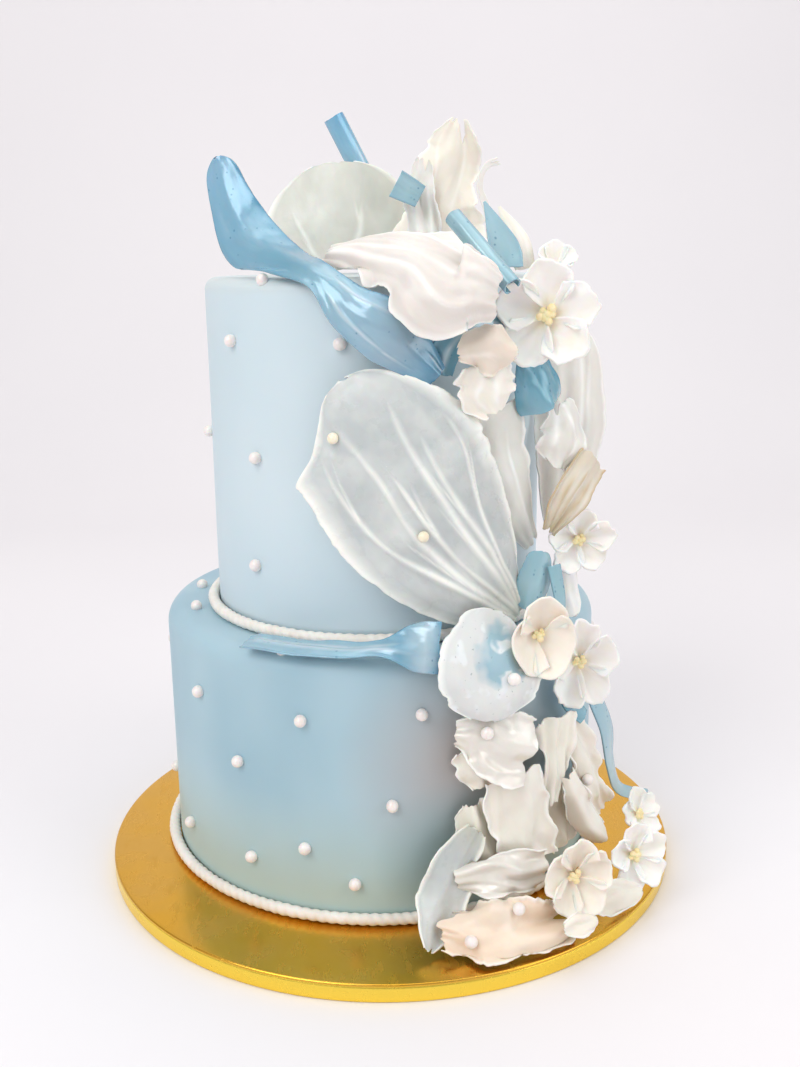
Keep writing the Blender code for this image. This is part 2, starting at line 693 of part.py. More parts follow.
def foot_pieces(placed):
    """The sheets and flowers that rest on the drum."""
    sheet(placed, "base_sheet", "cream sugar", [
        (21, -125, 19, 8, 0, 40),
        (34, -130, 21, 13, 3, 40),
        (47, -132, 22, 16, 8, 40),
        (60, -130, 21, 16, 14, 40),
        (73, -123, 19, 13, 22, 40),
        (86, -112, 16, 8, 32, 40),
    ], cells=(9, 5), curl=40, ruffle=(2.5, 3), jag=(0.18, 5), pearls=[(0.22, 0.3)])
    sheet(placed, "pearly_bag", "white sugar", [
        (30, -115, 37, 6, 8, 10),
        (44, -117, 39, 9, 14, 12),
        (59, -115, 41, 11, 22, 12),
        (73, -107, 39, 10, 30, 10),
    ], cells=(7, 5), curl=50, pleat=(1, 3))
    flower(placed, "foot_orchid", (84, -110, 38), 17, 15, 5, "blush paste", cells=(25, 3),
           petals=5, notch=0.3, cup=0.5, stretch=1.15, wave=0.12)
    flower(placed, "foot_flower", (118, -76, 28), 17, 25, 15, cells=(20, 3), notch=0.42, wave=0.1)
    flower(placed, "back_flower", (128, -40, 30), 14, 40, 25, cells=(20, 3), notch=0.35, cup=0.3)
    sheet(placed, "low_petal", "flower paste", [
        (93, -110, 21, 4, 20, 30),
        (107, -100, 19, 9, 25, 35),
        (121, -88, 15, 4, 30, 35),
    ], cells=(6, 3), round_start=0.2, round_end=0.2, curl=40)
    sheet(placed, "front_petal", "flower paste", [
        (76, -126, 19, 3, 10, 30),
        (84, -121, 18, 6, 15, 35),
        (93, -114, 16, 3, 25, 35),
    ], cells=(5, 3), round_start=0.2, round_end=0.2, curl=40)


def build():
    """Makes the whole cake, from the drum up."""
    empty_scene()
    cake = bpy.data.collections.new("wedding_cake")
    bpy.context.scene.collection.children.link(cake)
    drum()
    bottom_tier()
    border("bottom_border", BOTTOM_AXIS, BOTTOM_RADIUS, BOARD_HEIGHT)
    top_tier()
    border("top_border", TOP_AXIS, TOP_RADIUS, BOTTOM_TOP)
    bpy.context.view_layer.update()
    placed = [solid_tree(thing) for thing in cake.objects]
    shoulder_pieces(placed)
    crown_pieces(placed)
    fan_pieces(placed)
    ledge_pieces(placed)
    lower_pieces(placed)
    foot_pieces(placed)


build()
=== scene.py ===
"""Looks of a tiered wedding cake: iced tiers on a foil drum, pearls, piped borders and sugar work.

Lengths are in metres and +Z is up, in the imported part's own frame. Rows of the sugar sheets are in mm.
"""

import math
import random

import bmesh
import bpy
from mathutils import Matrix, Vector, noise
from mathutils.bvhtree import BVHTree


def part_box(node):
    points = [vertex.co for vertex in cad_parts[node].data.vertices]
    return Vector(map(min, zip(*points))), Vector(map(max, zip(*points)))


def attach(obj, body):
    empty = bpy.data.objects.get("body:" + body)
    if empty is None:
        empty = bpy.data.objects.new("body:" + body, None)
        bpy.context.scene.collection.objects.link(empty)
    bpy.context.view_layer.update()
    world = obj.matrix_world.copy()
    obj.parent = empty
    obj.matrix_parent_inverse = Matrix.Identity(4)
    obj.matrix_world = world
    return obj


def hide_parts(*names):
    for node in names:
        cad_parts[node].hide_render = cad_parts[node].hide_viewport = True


bl_info = {
    "name": "Tiered Wedding Cake",
    "version": (1, 0, 0),
    "blender": (4, 5, 0),
    "location": "View3D > Sidebar > Cake",
    "description": "Iced tiers with pearls, piped borders, sugar sheets, ribbons and flowers",
    "category": "Add Mesh",
}

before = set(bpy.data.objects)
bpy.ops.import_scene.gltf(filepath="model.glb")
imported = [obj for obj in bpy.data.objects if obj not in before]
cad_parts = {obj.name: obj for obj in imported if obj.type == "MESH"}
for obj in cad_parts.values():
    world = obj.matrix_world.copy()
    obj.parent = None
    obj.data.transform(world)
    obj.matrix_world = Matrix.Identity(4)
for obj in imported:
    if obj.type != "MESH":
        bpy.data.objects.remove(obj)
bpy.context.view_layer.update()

MM = 0.001

# Sizes of the cake: the drum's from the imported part, the others as its source has them
BOARD_LOW, BOARD_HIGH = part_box("board")
BOARD_RADIUS = 0.5 * (BOARD_HIGH[0] - BOARD_LOW[0])
BOARD_HEIGHT = BOARD_HIGH[2]
TIER_CLEARANCE = 0.3 * MM
BOTTOM_AXIS = Vector((-4 * MM, 11 * MM, 0))
BOTTOM_RADIUS = 113 * MM
BOTTOM_TOP = 138.5 * MM
BOTTOM_EDGE = 9 * MM
TOP_AXIS = Vector((-5 * MM, 5.5 * MM, 0))
TOP_RADIUS = 83.5 * MM
TOP_TOP = 304.5 * MM
TOP_EDGE = 6 * MM
BORDER_SIZE = 6 * MM
BORDER_CLEARANCE = 3.7 * MM
PEARL_SUNK = 1.6 * MM
SHEET_CLEARANCE = 1.7 * MM

# How sheets bend: rows of corners closer at the ends, the second rim's lag in a ruffle, half widths in mm
CLOSER_ENDS = 0.5
RUFFLE_LAG = 0.9
MIN_HALF = 1
FULL_FOLD_HALF = 6
PLEAT_SHARE = 0.3

# Pearls on sheets: how deep they sit, the petal's smaller ones, and how far off a sheet is looked for
PEARL_SUNK_IN_SHEET = 0.9 * MM
PETAL_PEARL_SCALE = 0.83
PEARL_SEARCH = 12 * MM

# Corners closer together than this are joined
SEAM = 0.01 * MM
SHEET_SEAM = 0.02 * MM

# Pearls: degrees right of the front and mm above the drum or the tier's foot, or mm from the axis
BOTTOM_PEARLS = [
    (-50, 101), (-18, 100), (10, 104),
    (-36, 73), (3, 60),
    (-59, 24), (-33, 25), (-18, 36), (-6, 20),
]
TOP_PEARLS = [(-50, 138), (-9, 138), (-40, 85), (-42, 33)]
LEDGE_PEARLS = [(-72, 99), (-24, 107), (150, 99), (215, 101), (265, 98)]
LEDGE_DROP = 0.5 * MM
RIM_PEARL_ANGLE = -36
RIM_PEARL_INSET = 2 * MM

# Camera that took the photograph, as its place, its tilt below level, its roll and its lens
CAMERA_PLACE = (0.0070, -0.5770, 0.3140)
CAMERA_DROP = 0.24115
CAMERA_ROLL = -0.01208
CAMERA_LENS = 38.237
CAMERA_SENSOR = 36

# An airbrushed taupe cloud on the bottom tier, and painted shade on it beside the lower sheets
TAUPE_PLACE = (38 * MM, -100 * MM, 88 * MM)
CASCADE_SHADE_PLACE = (32 * MM, -100 * MM, 40 * MM)

# Where the blue lies on the disc, in metres along and across the sheet as it was rolled flat
DISC_BLUE_PLACE = (21 * MM, -7 * MM, 0)

# Paper sweep, room and lights: each light's name, place, target, size and power
SWEEP_WIDTH = 6.0
SWEEP_FRONT = -2.5
SWEEP_BACK = 0.75
SWEEP_CURVE = 0.6
SWEEP_LENGTH = 4.5
ROOM_GLOW = 0.57
LIGHTS = [
    ("window light", (-0.9, -1.1, 1.3), (0, 0, 0.15), (1.2, 1.2), 15.5),
    ("right fill", (1.3, -0.7, 0.9), (0, 0, 0.15), (1.0, 1.2), 7.5),
    ("overhead light", (0.1, 0.1, 1.6), (0, 0, 0.1), (1.4, 1.4), 6),
    ("backdrop light", (0, 0.3, 2.3), (0, 1.35, 1.2), (2.5, 0.6), 5),
]

# How each kind of sugar sheet is worked: its pane and vein colours, how clear it is and how rough
VEILS = {
    "silver": ("#dde3e4", "#fdfbf3", 0.4, 0.24),
    "leaf": ("#e2e5da", "#f9f9f2", 0.25, 0.36),
    "disc": ("#dcdfde", "#f6f5f1", 0.05, 0.28),
    "milky": ("#f5f1e9", "#fdfbf7", 0.18, 0.36),
    "cream": ("#f8f0e2", "#fdf9f1", 0.08, 0.42),
    "rose": ("#fbf1e5", "#fefaf4", 0.08, 0.4),
    "tan": ("#f0eadd", "#c9b692", 0.1, 0.42),
    "pearled": ("#e4dfd6", "#f8f5ef", 0.0, 0.3),
    "satin": ("#e2dbd4", "#f7f3ee", 0.05, 0.34),
    "pink": ("#f8dfc8", "#fdf2e6", 0.05, 0.4),
    "blush": ("#eadccd", "#f7ece0", 0.03, 0.45),
}

# Looks of single sheets. The look or the tones choose the material. Veins are so many, begin at a share of
# the length and stand up by the ridge in mm. The fold is the height of the broad folds in mm. The number of
# folds is how closely they lie. The crumple is the height of the creases in mm. The rim is torn by a share of
# the sheet's size, and the lip is how far in mm it turns out.
DETAILS = {
    "great_petal": dict(
        look="silver", veins=6, ridge=1.1, fold=1.1, folds=1.4, crumple=1.2, torn=0.03, lip=2),
    "round_leaf": dict(look="leaf", veins=2, ridge=0.3, fold=0.9, folds=0.9, crumple=0.8, torn=0.05),
    "translucent_disc": dict(look="disc", veins=0, fold=0.6, folds=1.5, crumple=0.9, torn=0.09),
    "front_sail": dict(look="satin", veins=2, ridge=0.5, fold=2.0, folds=1.1, crumple=1.3, torn=0.07, lip=3),
    "back_ruffle": dict(look="milky", veins=2, ridge=0.4, fold=1.5, folds=1.2, torn=0.1),
    "tendril": dict(look="milky", veins=0, torn=0.25),
    "cream_backing": dict(look="milky", veins=1, fold=1.4, folds=1.0, torn=0.06, lip=3),
    "cream_shell": dict(
        look="milky", veins=3, ridge=0.4, fold=1.4, folds=1.2, crumple=1.0, torn=0.06, lip=2),
    "shell_crumple": dict(look="milky", veins=2, fold=1.6, folds=2, crumple=2.2, torn=0.2),
    "tan_pleats": dict(look="tan", veins=3, ridge=0.5, fold=1.6, folds=1.4, torn=0.12),
    "feather": dict(look="cream", veins=2, ridge=0.4, fold=1.8, folds=1.2, crumple=1.6, torn=0.2),
    "crumpled_lobe": dict(look="milky", veins=2, fold=1.5, folds=2, crumple=1.8, torn=0.2),
    "blush_bloom": dict(look="rose", veins=2, fold=1.4, folds=1.6, crumple=2.2, torn=0.16),
    "blush_crown": dict(look="blush", veins=1, fold=1.4, folds=1.4, crumple=2.4, torn=0.16),
    "left_chip": dict(look="rose", veins=0, fold=2.6, folds=1.4, crumple=2.2, torn=0.2, lip=4),
    "torn_sheet": dict(look="cream", veins=0, fold=3.2, folds=1.5, crumple=2.0, torn=0.26, lip=4),
    "hollow_sheet": dict(look="cream", veins=0, fold=2.4, folds=1.4, crumple=1.4, torn=0.15, lip=3),
    "side_strip": dict(look="rose", veins=0, fold=4.0, folds=1.4, crumple=1.8, torn=0.15, lip=4),
    "middle_strip": dict(look="cream", veins=0, fold=4.0, folds=1.5, crumple=1.6, torn=0.12, lip=4),
    "long_sheet": dict(look="rose", veins=0, fold=3.6, folds=1.1, crumple=1.8, torn=0.1, lip=4),
    "folded_sheet": dict(look="pearled", veins=0, fold=4.0, folds=1.2, crumple=2.0, torn=0.12, lip=4),
    "rolled_sheet": dict(look="rose", veins=0, fold=3.0, folds=1.4, crumple=1.6, torn=0.12, lip=4),
    "pointed_sail": dict(look="silver", veins=0, fold=2.4, folds=0.9, crumple=1.2, torn=0.08, lip=4),
    "base_sheet": dict(look="pink", veins=0, fold=4.4, folds=1.6, crumple=2.8, torn=0.22, lip=5),
    "pearly_bag": dict(look="pearled", veins=0, fold=3.6, folds=1.2, crumple=2.6, torn=0.1, lip=4),
    "pearl_sail": dict(
        veins=2, begins=0.5, ridge=0.9, fold=0.6, folds=1.0, crumple=0.45, torn=0.015, tones="sail"),
    "ledge_ribbon": dict(veins=2, ridge=0.5, fold=0.8, folds=1.3, torn=0.03, tones="ribbon"),
    "glossy_leaf": dict(veins=0, fold=1.4, folds=1.2, crumple=2.6, torn=0.03, tones="deep"),
    "ribbon_loop": dict(veins=1, fold=0.8, folds=1.2, torn=0.03, tones="deep"),
    "dark_ribbon": dict(veins=1, fold=0.6, folds=1.2, torn=0.05, tones="deep"),
    "falling_ribbon": dict(veins=0, fold=0.3, folds=1.2, crumple=0.3, torn=0.03, tones="pale"),
    "blue_leaf": dict(veins=0, fold=0.5, folds=1.0, crumple=0.4, torn=0.06),
    "blue_strip": dict(veins=0, fold=0.3, folds=1.0, crumple=0.3, torn=0.04),
    "flat_blade": dict(veins=0, fold=0.5, folds=1.0, crumple=0.4, torn=0.04),
    "small_tile": dict(veins=0, fold=0.2, crumple=0.2, torn=0.02),
    "tall_straw": dict(veins=1, ridge=0.4, fold=0.2, crumple=0.4, torn=0.02, tones="bright"),
    "rolled_stick": dict(veins=0, fold=0.2, crumple=0.3, torn=0.02),
    "side_cup": dict(veins=1, fold=1.2, folds=1.5, crumple=1.4, torn=0.14),
    "low_petal": dict(look="cream", veins=0, fold=3.5, folds=1.5, crumple=3.0, torn=0.16, lip=5),
    "front_petal": dict(look="cream", veins=0, fold=3.5, folds=1.5, crumple=3.0, torn=0.16, lip=5),
}

# Tones of blue sugar along a piece, from its start to its end
TONES = {
    "plain": ((0, "#98c6d3"), (0.5, "#a8d0da"), (1, "#93bfcd")),
    "sail": ((0, "#8fc3dd"), (0.14, "#80b8d2"), (0.3, "#79b1c9"), (0.42, "#6fa9c0"), (0.52, "#93c0d1"),
             (0.64, "#9cc3d6"), (0.82, "#96b4c4"), (0.93, "#5f97b3"), (1, "#246f90")),
    "ribbon": ((0, "#a5cad8"), (0.5, "#94c1d3"), (0.72, "#7db0c7"), (0.88, "#b9d3de"), (1, "#6ea5bf")),
    "deep": ((0, "#71aec3"), (0.5, "#69a9be"), (1, "#86bccd")),
    "pale": ((0, "#94c2d2"), (0.4, "#b0d3dc"), (1, "#b4d7df")),
    "bright": ((0, "#92c9e0"), (0.6, "#a6d6ea"), (1, "#6fb4d6")),
}


def rgb(code):
    """The linear colour of an sRGB hex code."""
    channels = [int(code[i:i + 2], 16) / 255 for i in (1, 3, 5)]
    return [c / 12.92 if c <= 0.04045 else ((c + 0.055) / 1.055) ** 2.4 for c in channels]


class CakeSizes(bpy.types.PropertyGroup):
    """Sizes of the cake's details."""

    pearl_radius: bpy.props.FloatProperty(
        name="Pearl radius", description="Radius of a sugar pearl", default=3 * MM, unit="LENGTH")
    rope_pitch: bpy.props.FloatProperty(
        name="Rope pitch", description="Distance between two turns of the piped rope",
        default=4.8 * MM, unit="LENGTH")
    sheet_thickness: bpy.props.FloatProperty(
        name="Sheet thickness", description="Thickness of a rolled sugar sheet",
        default=0.8 * MM, unit="LENGTH")
    petal_thickness: bpy.props.FloatProperty(
        name="Petal thickness", description="Thickness of a flower's petal", default=0.9 * MM, unit="LENGTH")
    hand_waver: bpy.props.FloatProperty(
        name="Hand waver", description="How far the icing's surface wanders from a true round",
        default=0.25 * MM, unit="LENGTH")


class CakeColours(bpy.types.PropertyGroup):
    """Colours of the cake's icing, sugar and foil."""

    top_blue: bpy.props.FloatVectorProperty(
        name="Top tier", description="Airbrushed colour of the top tier",
        subtype="COLOR", default=rgb("#c9dbe2"))
    bottom_blue: bpy.props.FloatVectorProperty(
        name="Bottom tier", description="Airbrushed colour of the bottom tier",
        subtype="COLOR", default=rgb("#adc9d4"))
    foot_green: bpy.props.FloatVectorProperty(
        name="Foot of the bottom tier", description="Greener blue that the bottom tier fades to",
        subtype="COLOR", default=rgb("#b5c9c2"))
    taupe: bpy.props.FloatVectorProperty(
        name="Taupe blush", description="Grey-pink cloud airbrushed on the bottom tier's front",
        subtype="COLOR", default=rgb("#b4afad"))
    gold: bpy.props.FloatVectorProperty(
        name="Gold foil", description="Colour of the drum's foil", subtype="COLOR", default=rgb("#e7b03a"))
    deep_blue: bpy.props.FloatVectorProperty(
        name="Deep blue sugar", description="Colour of the blue sugar where it is thick",
        subtype="COLOR", default=rgb("#337f9f"))
    flower_white: bpy.props.FloatVectorProperty(
        name="Flower paste", description="Colour of the white flowers",
        subtype="COLOR", default=rgb("#fcf9f6"))


def sizes():
    """The cake's sizes, as the panel shows them."""
    return bpy.context.scene.cake_sizes


def colours():
    """The cake's colours, as the panel shows them."""
    return bpy.context.scene.cake_colours


# Materials


def shade(value):
    """A colour as four linear numbers, from a hex code or from three."""
    return (*(rgb(value) if isinstance(value, str) else value), 1)


def add(tree, kind, links=None, **settings):
    """Adds a node with its settings, and feeds its sockets with values or with other nodes' sockets."""
    node = tree.nodes.new(kind)
    for key, value in settings.items():
        setattr(node, key, value)
    for key, value in (links or {}).items():
        socket = node.inputs[key]
        if isinstance(value, bpy.types.NodeSocket):
            tree.links.new(value, socket)
        else:
            socket.default_value = value
    return node


def ramp(tree, factor, *stops):
    """A colour ramp of (place, colour) stops along a factor."""
    node = add(tree, "ShaderNodeValToRGB", {"Fac": factor})
    points = node.color_ramp.elements
    while len(points) < len(stops):
        points.new(0.5)
    for point, (place, colour) in zip(points, stops):
        point.position = place
        point.color = shade(colour)
    return node.outputs["Color"]


def blend_colours(tree, factor, first, second):
    """The mix of two colours or colour sockets by a factor."""
    links = {"Factor": factor}
    for key, value in ((6, first), (7, second)):
        links[key] = value if isinstance(value, bpy.types.NodeSocket) else shade(value)
    return add(tree, "ShaderNodeMix", links, data_type="RGBA").outputs[2]


def speckle(tree, size, detail=3, stretch=(1, 1, 1), roughness=0.55, place=None):
    """Soft noise with lumps of a real size in metres, in the part's own frame or at a given place."""
    place = place or add(tree, "ShaderNodeTexCoord").outputs["Object"]
    scaled = add(tree, "ShaderNodeMapping", {"Vector": place, "Scale": stretch}).outputs["Vector"]
    links = {"Vector": scaled, "Scale": 1 / size, "Detail": detail, "Roughness": roughness}
    return add(tree, "ShaderNodeTexNoise", links).outputs["Fac"]


def on_sheet(tree):
    """A place on a sheet as it was rolled flat: metres along it and across it."""
    links = {"X": painted(tree, "along"), "Y": painted(tree, "across")}
    return add(tree, "ShaderNodeCombineXYZ", links).outputs["Vector"]


def times(tree, *values):
    """The product of some values."""
    product = values[0]
    for value in values[1:]:
        product = add(tree, "ShaderNodeMath", {0: product, 1: value}, operation="MULTIPLY").outputs[0]
    return product


def levels(tree, value, low, high, to_low=0.0, to_high=1.0):
    """A value stretched from one range to another, and kept inside it."""
    links = {"Value": value, "From Min": low, "From Max": high, "To Min": to_low, "To Max": to_high}
    return add(tree, "ShaderNodeMapRange", links).outputs["Result"]


def relief(tree, height, depth, base=None):
    """The surface normal under a fine relief, its depth in metres."""
    links = {"Height": height, "Distance": depth, "Strength": 1.0}
    if base:
        links["Normal"] = base
    return add(tree, "ShaderNodeBump", links).outputs["Normal"]


def painted(tree, name):
    """A number stored on a piece's corners, such as how near a vein they are."""
    return add(tree, "ShaderNodeAttribute", attribute_name=name).outputs["Fac"]


def finish(name, build):
    """The named material, built once by its own function from a bare Principled shader."""
    found = bpy.data.materials.get(name)
    if found:
        return found
    made = bpy.data.materials.new(name)
    made.use_nodes = True
    tree = made.node_tree
    tree.nodes.clear()
    shader = add(tree, "ShaderNodeBsdfPrincipled")
    add(tree, "ShaderNodeOutputMaterial", {"Surface": shader.outputs["BSDF"]})
    build(tree, shader)
    return made


def feed(tree, shader, **sockets):
    """Sets or links the shader's sockets, named in lower case with underscores."""
    for key, value in sockets.items():
        socket = shader.inputs[key.replace("_", " ").title().replace("Ior", "IOR")]
        if isinstance(value, bpy.types.NodeSocket):
            tree.links.new(value, socket)
        else:
            socket.default_value = value


def gold_foil():
    """Gold foil laminated to card: a metal mirror blurred by the card's grain, yellower round the edge."""
    def build(tree, shader):
        place = add(tree, "ShaderNodeTexCoord").outputs["Object"]
        height = add(tree, "ShaderNodeSeparateXYZ", {"Vector": place}).outputs["Z"]
        grain = speckle(tree, 0.9 * MM, detail=2)
        handled = levels(tree, speckle(tree, 30 * MM), 0.35, 0.65)
        colour = blend_colours(tree, handled, colours().gold, "#e3b04b")
        band = levels(tree, height, BOARD_HEIGHT - 1.5 * MM, BOARD_HEIGHT - 0.9 * MM, 1, 0)
        colour = blend_colours(tree, band, colour, "#fbd955")
        scuffs = levels(tree, speckle(tree, 4 * MM, detail=5, stretch=(1, 0.25, 1)), 0.56, 0.7, 0, 0.16)
        rough = add(tree, "ShaderNodeMath", {0: levels(tree, handled, 0, 1, 0.2, 0.3), 1: scuffs}).outputs[0]
        feed(tree, shader, base_color=colour, metallic=1.0, roughness=rough,
             normal=relief(tree, grain, 0.03 * MM))
    return finish("laminated gold foil", build)


def airbrushed_icing(tier):
    """Rolled icing, smoothed by hand and airbrushed: satin, a little translucent, in clouds of blue. Painted
    shade greys the top tier's rounded top edge, and painted shade darkens the bottom tier beside the lower
    sheets.
    """
    def build(tree, shader):
        place = add(tree, "ShaderNodeTexCoord").outputs["Object"]
        height = add(tree, "ShaderNodeSeparateXYZ", {"Vector": place}).outputs["Z"]
        clouds = levels(tree, speckle(tree, 70 * MM, detail=2, stretch=(1, 1, 0.6)), 0.35, 0.65)
        if tier == "top":
            colour = blend_colours(tree, clouds, colours().top_blue, "#d0dfe5")
            foot = levels(tree, height, BOTTOM_TOP, BOTTOM_TOP + 60 * MM, 0.6, 0)
            colour = blend_colours(tree, foot, colour, "#bdd2dc")
            # Painted shade: the top tier turns grey towards its top, where its rounded top edge lies in shade
            rim = levels(tree, height, TOP_TOP - 8 * MM, TOP_TOP - 1 * MM, 0, 0.55)
            colour = blend_colours(tree, rim, colour, "#cdd3cf")
        else:
            colour = blend_colours(tree, clouds, colours().bottom_blue, "#9bbcca")
            foot = levels(tree, height, 70 * MM, 15 * MM, 0, 0.9)
            colour = blend_colours(tree, foot, colour, colours().foot_green)
            colour = cloud(tree, colour, colours().taupe, TAUPE_PLACE, 62 * MM, 0.95)
            # Painted shade: a darker teal-grey on the bottom tier where the lower sheets stand against it
            colour = cloud(tree, colour, "#87a2a6", CASCADE_SHADE_PLACE, 40 * MM, 0.8)
        dimples = relief(tree, speckle(tree, 0.6 * MM, detail=2), 0.012 * MM)
        swells = relief(tree, speckle(tree, 14 * MM, detail=1), 0.12 * MM, dimples)
        feed(tree, shader, base_color=colour, roughness=0.48, normal=swells, subsurface_weight=0.12,
             subsurface_scale=3 * MM, coat_weight=0.08, coat_roughness=0.35)
    return finish("airbrushed rolled icing, %s tier" % tier, build)


def cloud(tree, colour, tint, place, radius, strength):
    """A soft cloud of a tint round a place, used for an airbrushed tint and for painted shade."""
    here = add(tree, "ShaderNodeTexCoord").outputs["Object"]
    away = add(tree, "ShaderNodeVectorMath", {0: here, 1: place}, operation="DISTANCE").outputs["Value"]
    return blend_colours(tree, levels(tree, away, radius, 0.2 * radius, 0, strength), colour, tint)


def royal_icing():
    """Royal icing piped through a star tube: matt, chalky white with a slight grain."""
    def build(tree, shader):
        tint = blend_colours(tree, levels(tree, speckle(tree, 9 * MM), 0.3, 0.7), "#f3efe8", "#e9e3d9")
        feed(tree, shader, base_color=tint, roughness=0.62, subsurface_weight=0.15, subsurface_scale=2 * MM,
             normal=relief(tree, speckle(tree, 0.5 * MM, detail=3), 0.04 * MM))
    return finish("piped royal icing", build)


def sugar_pearl(tint="#f7f2ee", shadow="#ece2dc", name="polished sugar pearl"):
    """Polished sugar pearls with mica: a soft highlight under a clear, slightly pink sheen."""
    def build(tree, shader):
        colour = blend_colours(tree, levels(tree, speckle(tree, 4 * MM), 0.3, 0.7), tint, shadow)
        feed(tree, shader, base_color=colour, roughness=0.32, subsurface_weight=0.2, subsurface_scale=1 * MM,
             coat_weight=0.5, coat_roughness=0.15)
        shader.inputs["Sheen Weight"].default_value = 0.3
    return finish(name, build)


def sugar_veil(look):
    """Wafer-thin rolled sugar, dried in folds: cloudy panes between whiter veins, satin with wet glints.
    Painted highlights lie on its rim and pearly patches, and painted shade in its hollows and at its foot.
    """
    pane, vein, clear, gloss = VEILS[look]

    def build(tree, shader):
        flat = on_sheet(tree)
        lumps = speckle(tree, 26 * MM, detail=3, roughness=0.45, place=flat)
        clouds = levels(tree, lumps, 0.4, 0.75, 0, 0.45)
        # The rim turns whiter: thicker, milkier sugar at the edge, and a painted highlight along it
        rim = levels(tree, painted(tree, "edge"), 0.74 if look == "silver" else 0.84, 0.97, 0, 0.95)
        vein_near = painted(tree, "vein")
        white = add(tree, "ShaderNodeMath", {0: vein_near, 1: rim}, operation="MAXIMUM").outputs[0]
        thick = add(tree, "ShaderNodeMath", {0: white, 1: clouds}, operation="MAXIMUM").outputs[0]
        colour = blend_colours(tree, thick, pane, vein)
        if look == "silver":
            glints = levels(tree, speckle(tree, 1.5 * MM, detail=1, place=flat), 0.77, 0.82)
            colour = blend_colours(tree, glints, colour, "#fdfdfb")
            # Painted shade: the silver sheets turn olive-grey towards the start of their course, where it
            # tucks in among other pieces
            foot = levels(tree, painted(tree, "share"), 0.2, 0.0, 0, 0.5)
            colour = blend_colours(tree, foot, colour, "#bfc3a6")
        if look == "tan":
            # Painted shade: the tan sheet turns olive towards its foot
            foot = levels(tree, painted(tree, "share"), 0.5, 0.05, 0, 0.55)
            colour = blend_colours(tree, foot, colour, "#9b9270")
        if look == "disc":
            near = add(tree, "ShaderNodeVectorMath", {0: flat, 1: DISC_BLUE_PLACE}, operation="DISTANCE")
            uneven = times(tree, speckle(tree, 14 * MM, detail=2, place=flat), 20 * MM)
            reach = add(tree, "ShaderNodeMath", {0: near.outputs["Value"], 1: uneven}).outputs[0]
            colour = blend_colours(tree, levels(tree, reach, 27 * MM, 22 * MM, 0, 0.85), colour, "#8fb9c8")
            # Painted highlight: a pearly sheen painted as pale patches on the disc
            pearl = levels(tree, speckle(tree, 11 * MM, detail=2, place=flat), 0.56, 0.64, 0, 0.8)
            colour = blend_colours(tree, pearl, colour, "#eef2f3")
            specks = levels(tree, speckle(tree, 1.8 * MM, detail=2, place=flat), 0.68, 0.72, 0, 0.5)
            colour = blend_colours(tree, specks, colour, "#8b9aa0")
        # Painted shade: olive-grey in the hollows between and under the sheets, found by ambient occlusion
        around = add(tree, "ShaderNodeAmbientOcclusion", {"Distance": 14 * MM}, samples=4)
        hollow = levels(tree, around.outputs["AO"], 0.6, 0.2, 0, 0.55)
        colour = blend_colours(tree, hollow, colour, "#a39d80")
        cover = levels(tree, thick, 0.0, 0.9, 1 - clear, 1.0)
        wrinkles = relief(tree, speckle(tree, 7 * MM, detail=3, place=flat), 0.4 * MM)
        wet = levels(tree, speckle(tree, 8 * MM, detail=3, place=flat), 0.38, 0.62, gloss, gloss + 0.25)
        lustre = 0.22 if look == "pearled" else 0.0
        feed(tree, shader, base_color=colour, roughness=wet, alpha=cover, normal=wrinkles, metallic=lustre,
             subsurface_weight=0.25, subsurface_scale=2 * MM, coat_weight=0.25, coat_roughness=0.22)
    return finish("rolled sugar sheet, %s" % look, build)


def poured_blue(tones):
    """Isomalt tinted blue and poured: glassy, with bubbles, deep at its thick rims and dusted with pearl. The
    pearl dust's sheen on the ridges is a painted highlight, and pale streaks are painted reflection.
    """
    def build(tree, shader):
        flat = on_sheet(tree)
        thick = levels(tree, painted(tree, "edge"), 0.7, 0.97)
        if tones == "sail":
            thick = times(tree, thick, levels(tree, painted(tree, "across"), 3 * MM, -3 * MM, 0.25, 1.0))
        colour = ramp(tree, painted(tree, "share"), *TONES[tones])
        # Painted reflection: pale streaks stretched along the sugar
        painted_reflection_streaks = speckle(tree, 9 * MM, detail=3, stretch=(0.3, 1, 1), place=flat)
        colour = blend_colours(tree, levels(tree, painted_reflection_streaks, 0.48, 0.72, 0, 0.25), colour, "#bcdbe7")
        rim_blue = times(tree, thick, 0.7 if tones == "sail" else 0.35)
        colour = blend_colours(tree, rim_blue, colour, colours().deep_blue)
        spots = add(tree, "ShaderNodeTexVoronoi", {"Vector": flat, "Scale": 1 / (3.2 * MM)})
        cells = spots.outputs["Distance"]
        sparse = levels(tree, speckle(tree, 7 * MM, detail=1, place=flat), 0.5, 0.6)
        bubbles = times(tree, levels(tree, cells, 0.2, 0.12), sparse, 0.6)
        colour = blend_colours(tree, bubbles, colour, "#3d7f9f")
        # Pearl dust on the ridges, with its sheen painted in as a pale highlight
        ridge = levels(tree, painted(tree, "vein"), 0.2, 0.9, 0, 0.75)
        colour = blend_colours(tree, ridge, colour, "#dbeaf1")
        waves = relief(tree, speckle(tree, 9 * MM, detail=2, stretch=(0.5, 1, 1), place=flat), 0.5 * MM)
        feed(tree, shader, base_color=colour, roughness=0.2, metallic=0.12, coat_weight=0.7,
             coat_roughness=0.08, subsurface_weight=0.25, subsurface_scale=4 * MM, normal=waves,
             alpha=levels(tree, thick, 0, 0.6, 0.86, 1.0))
    return finish("poured blue isomalt, %s" % tones, build)


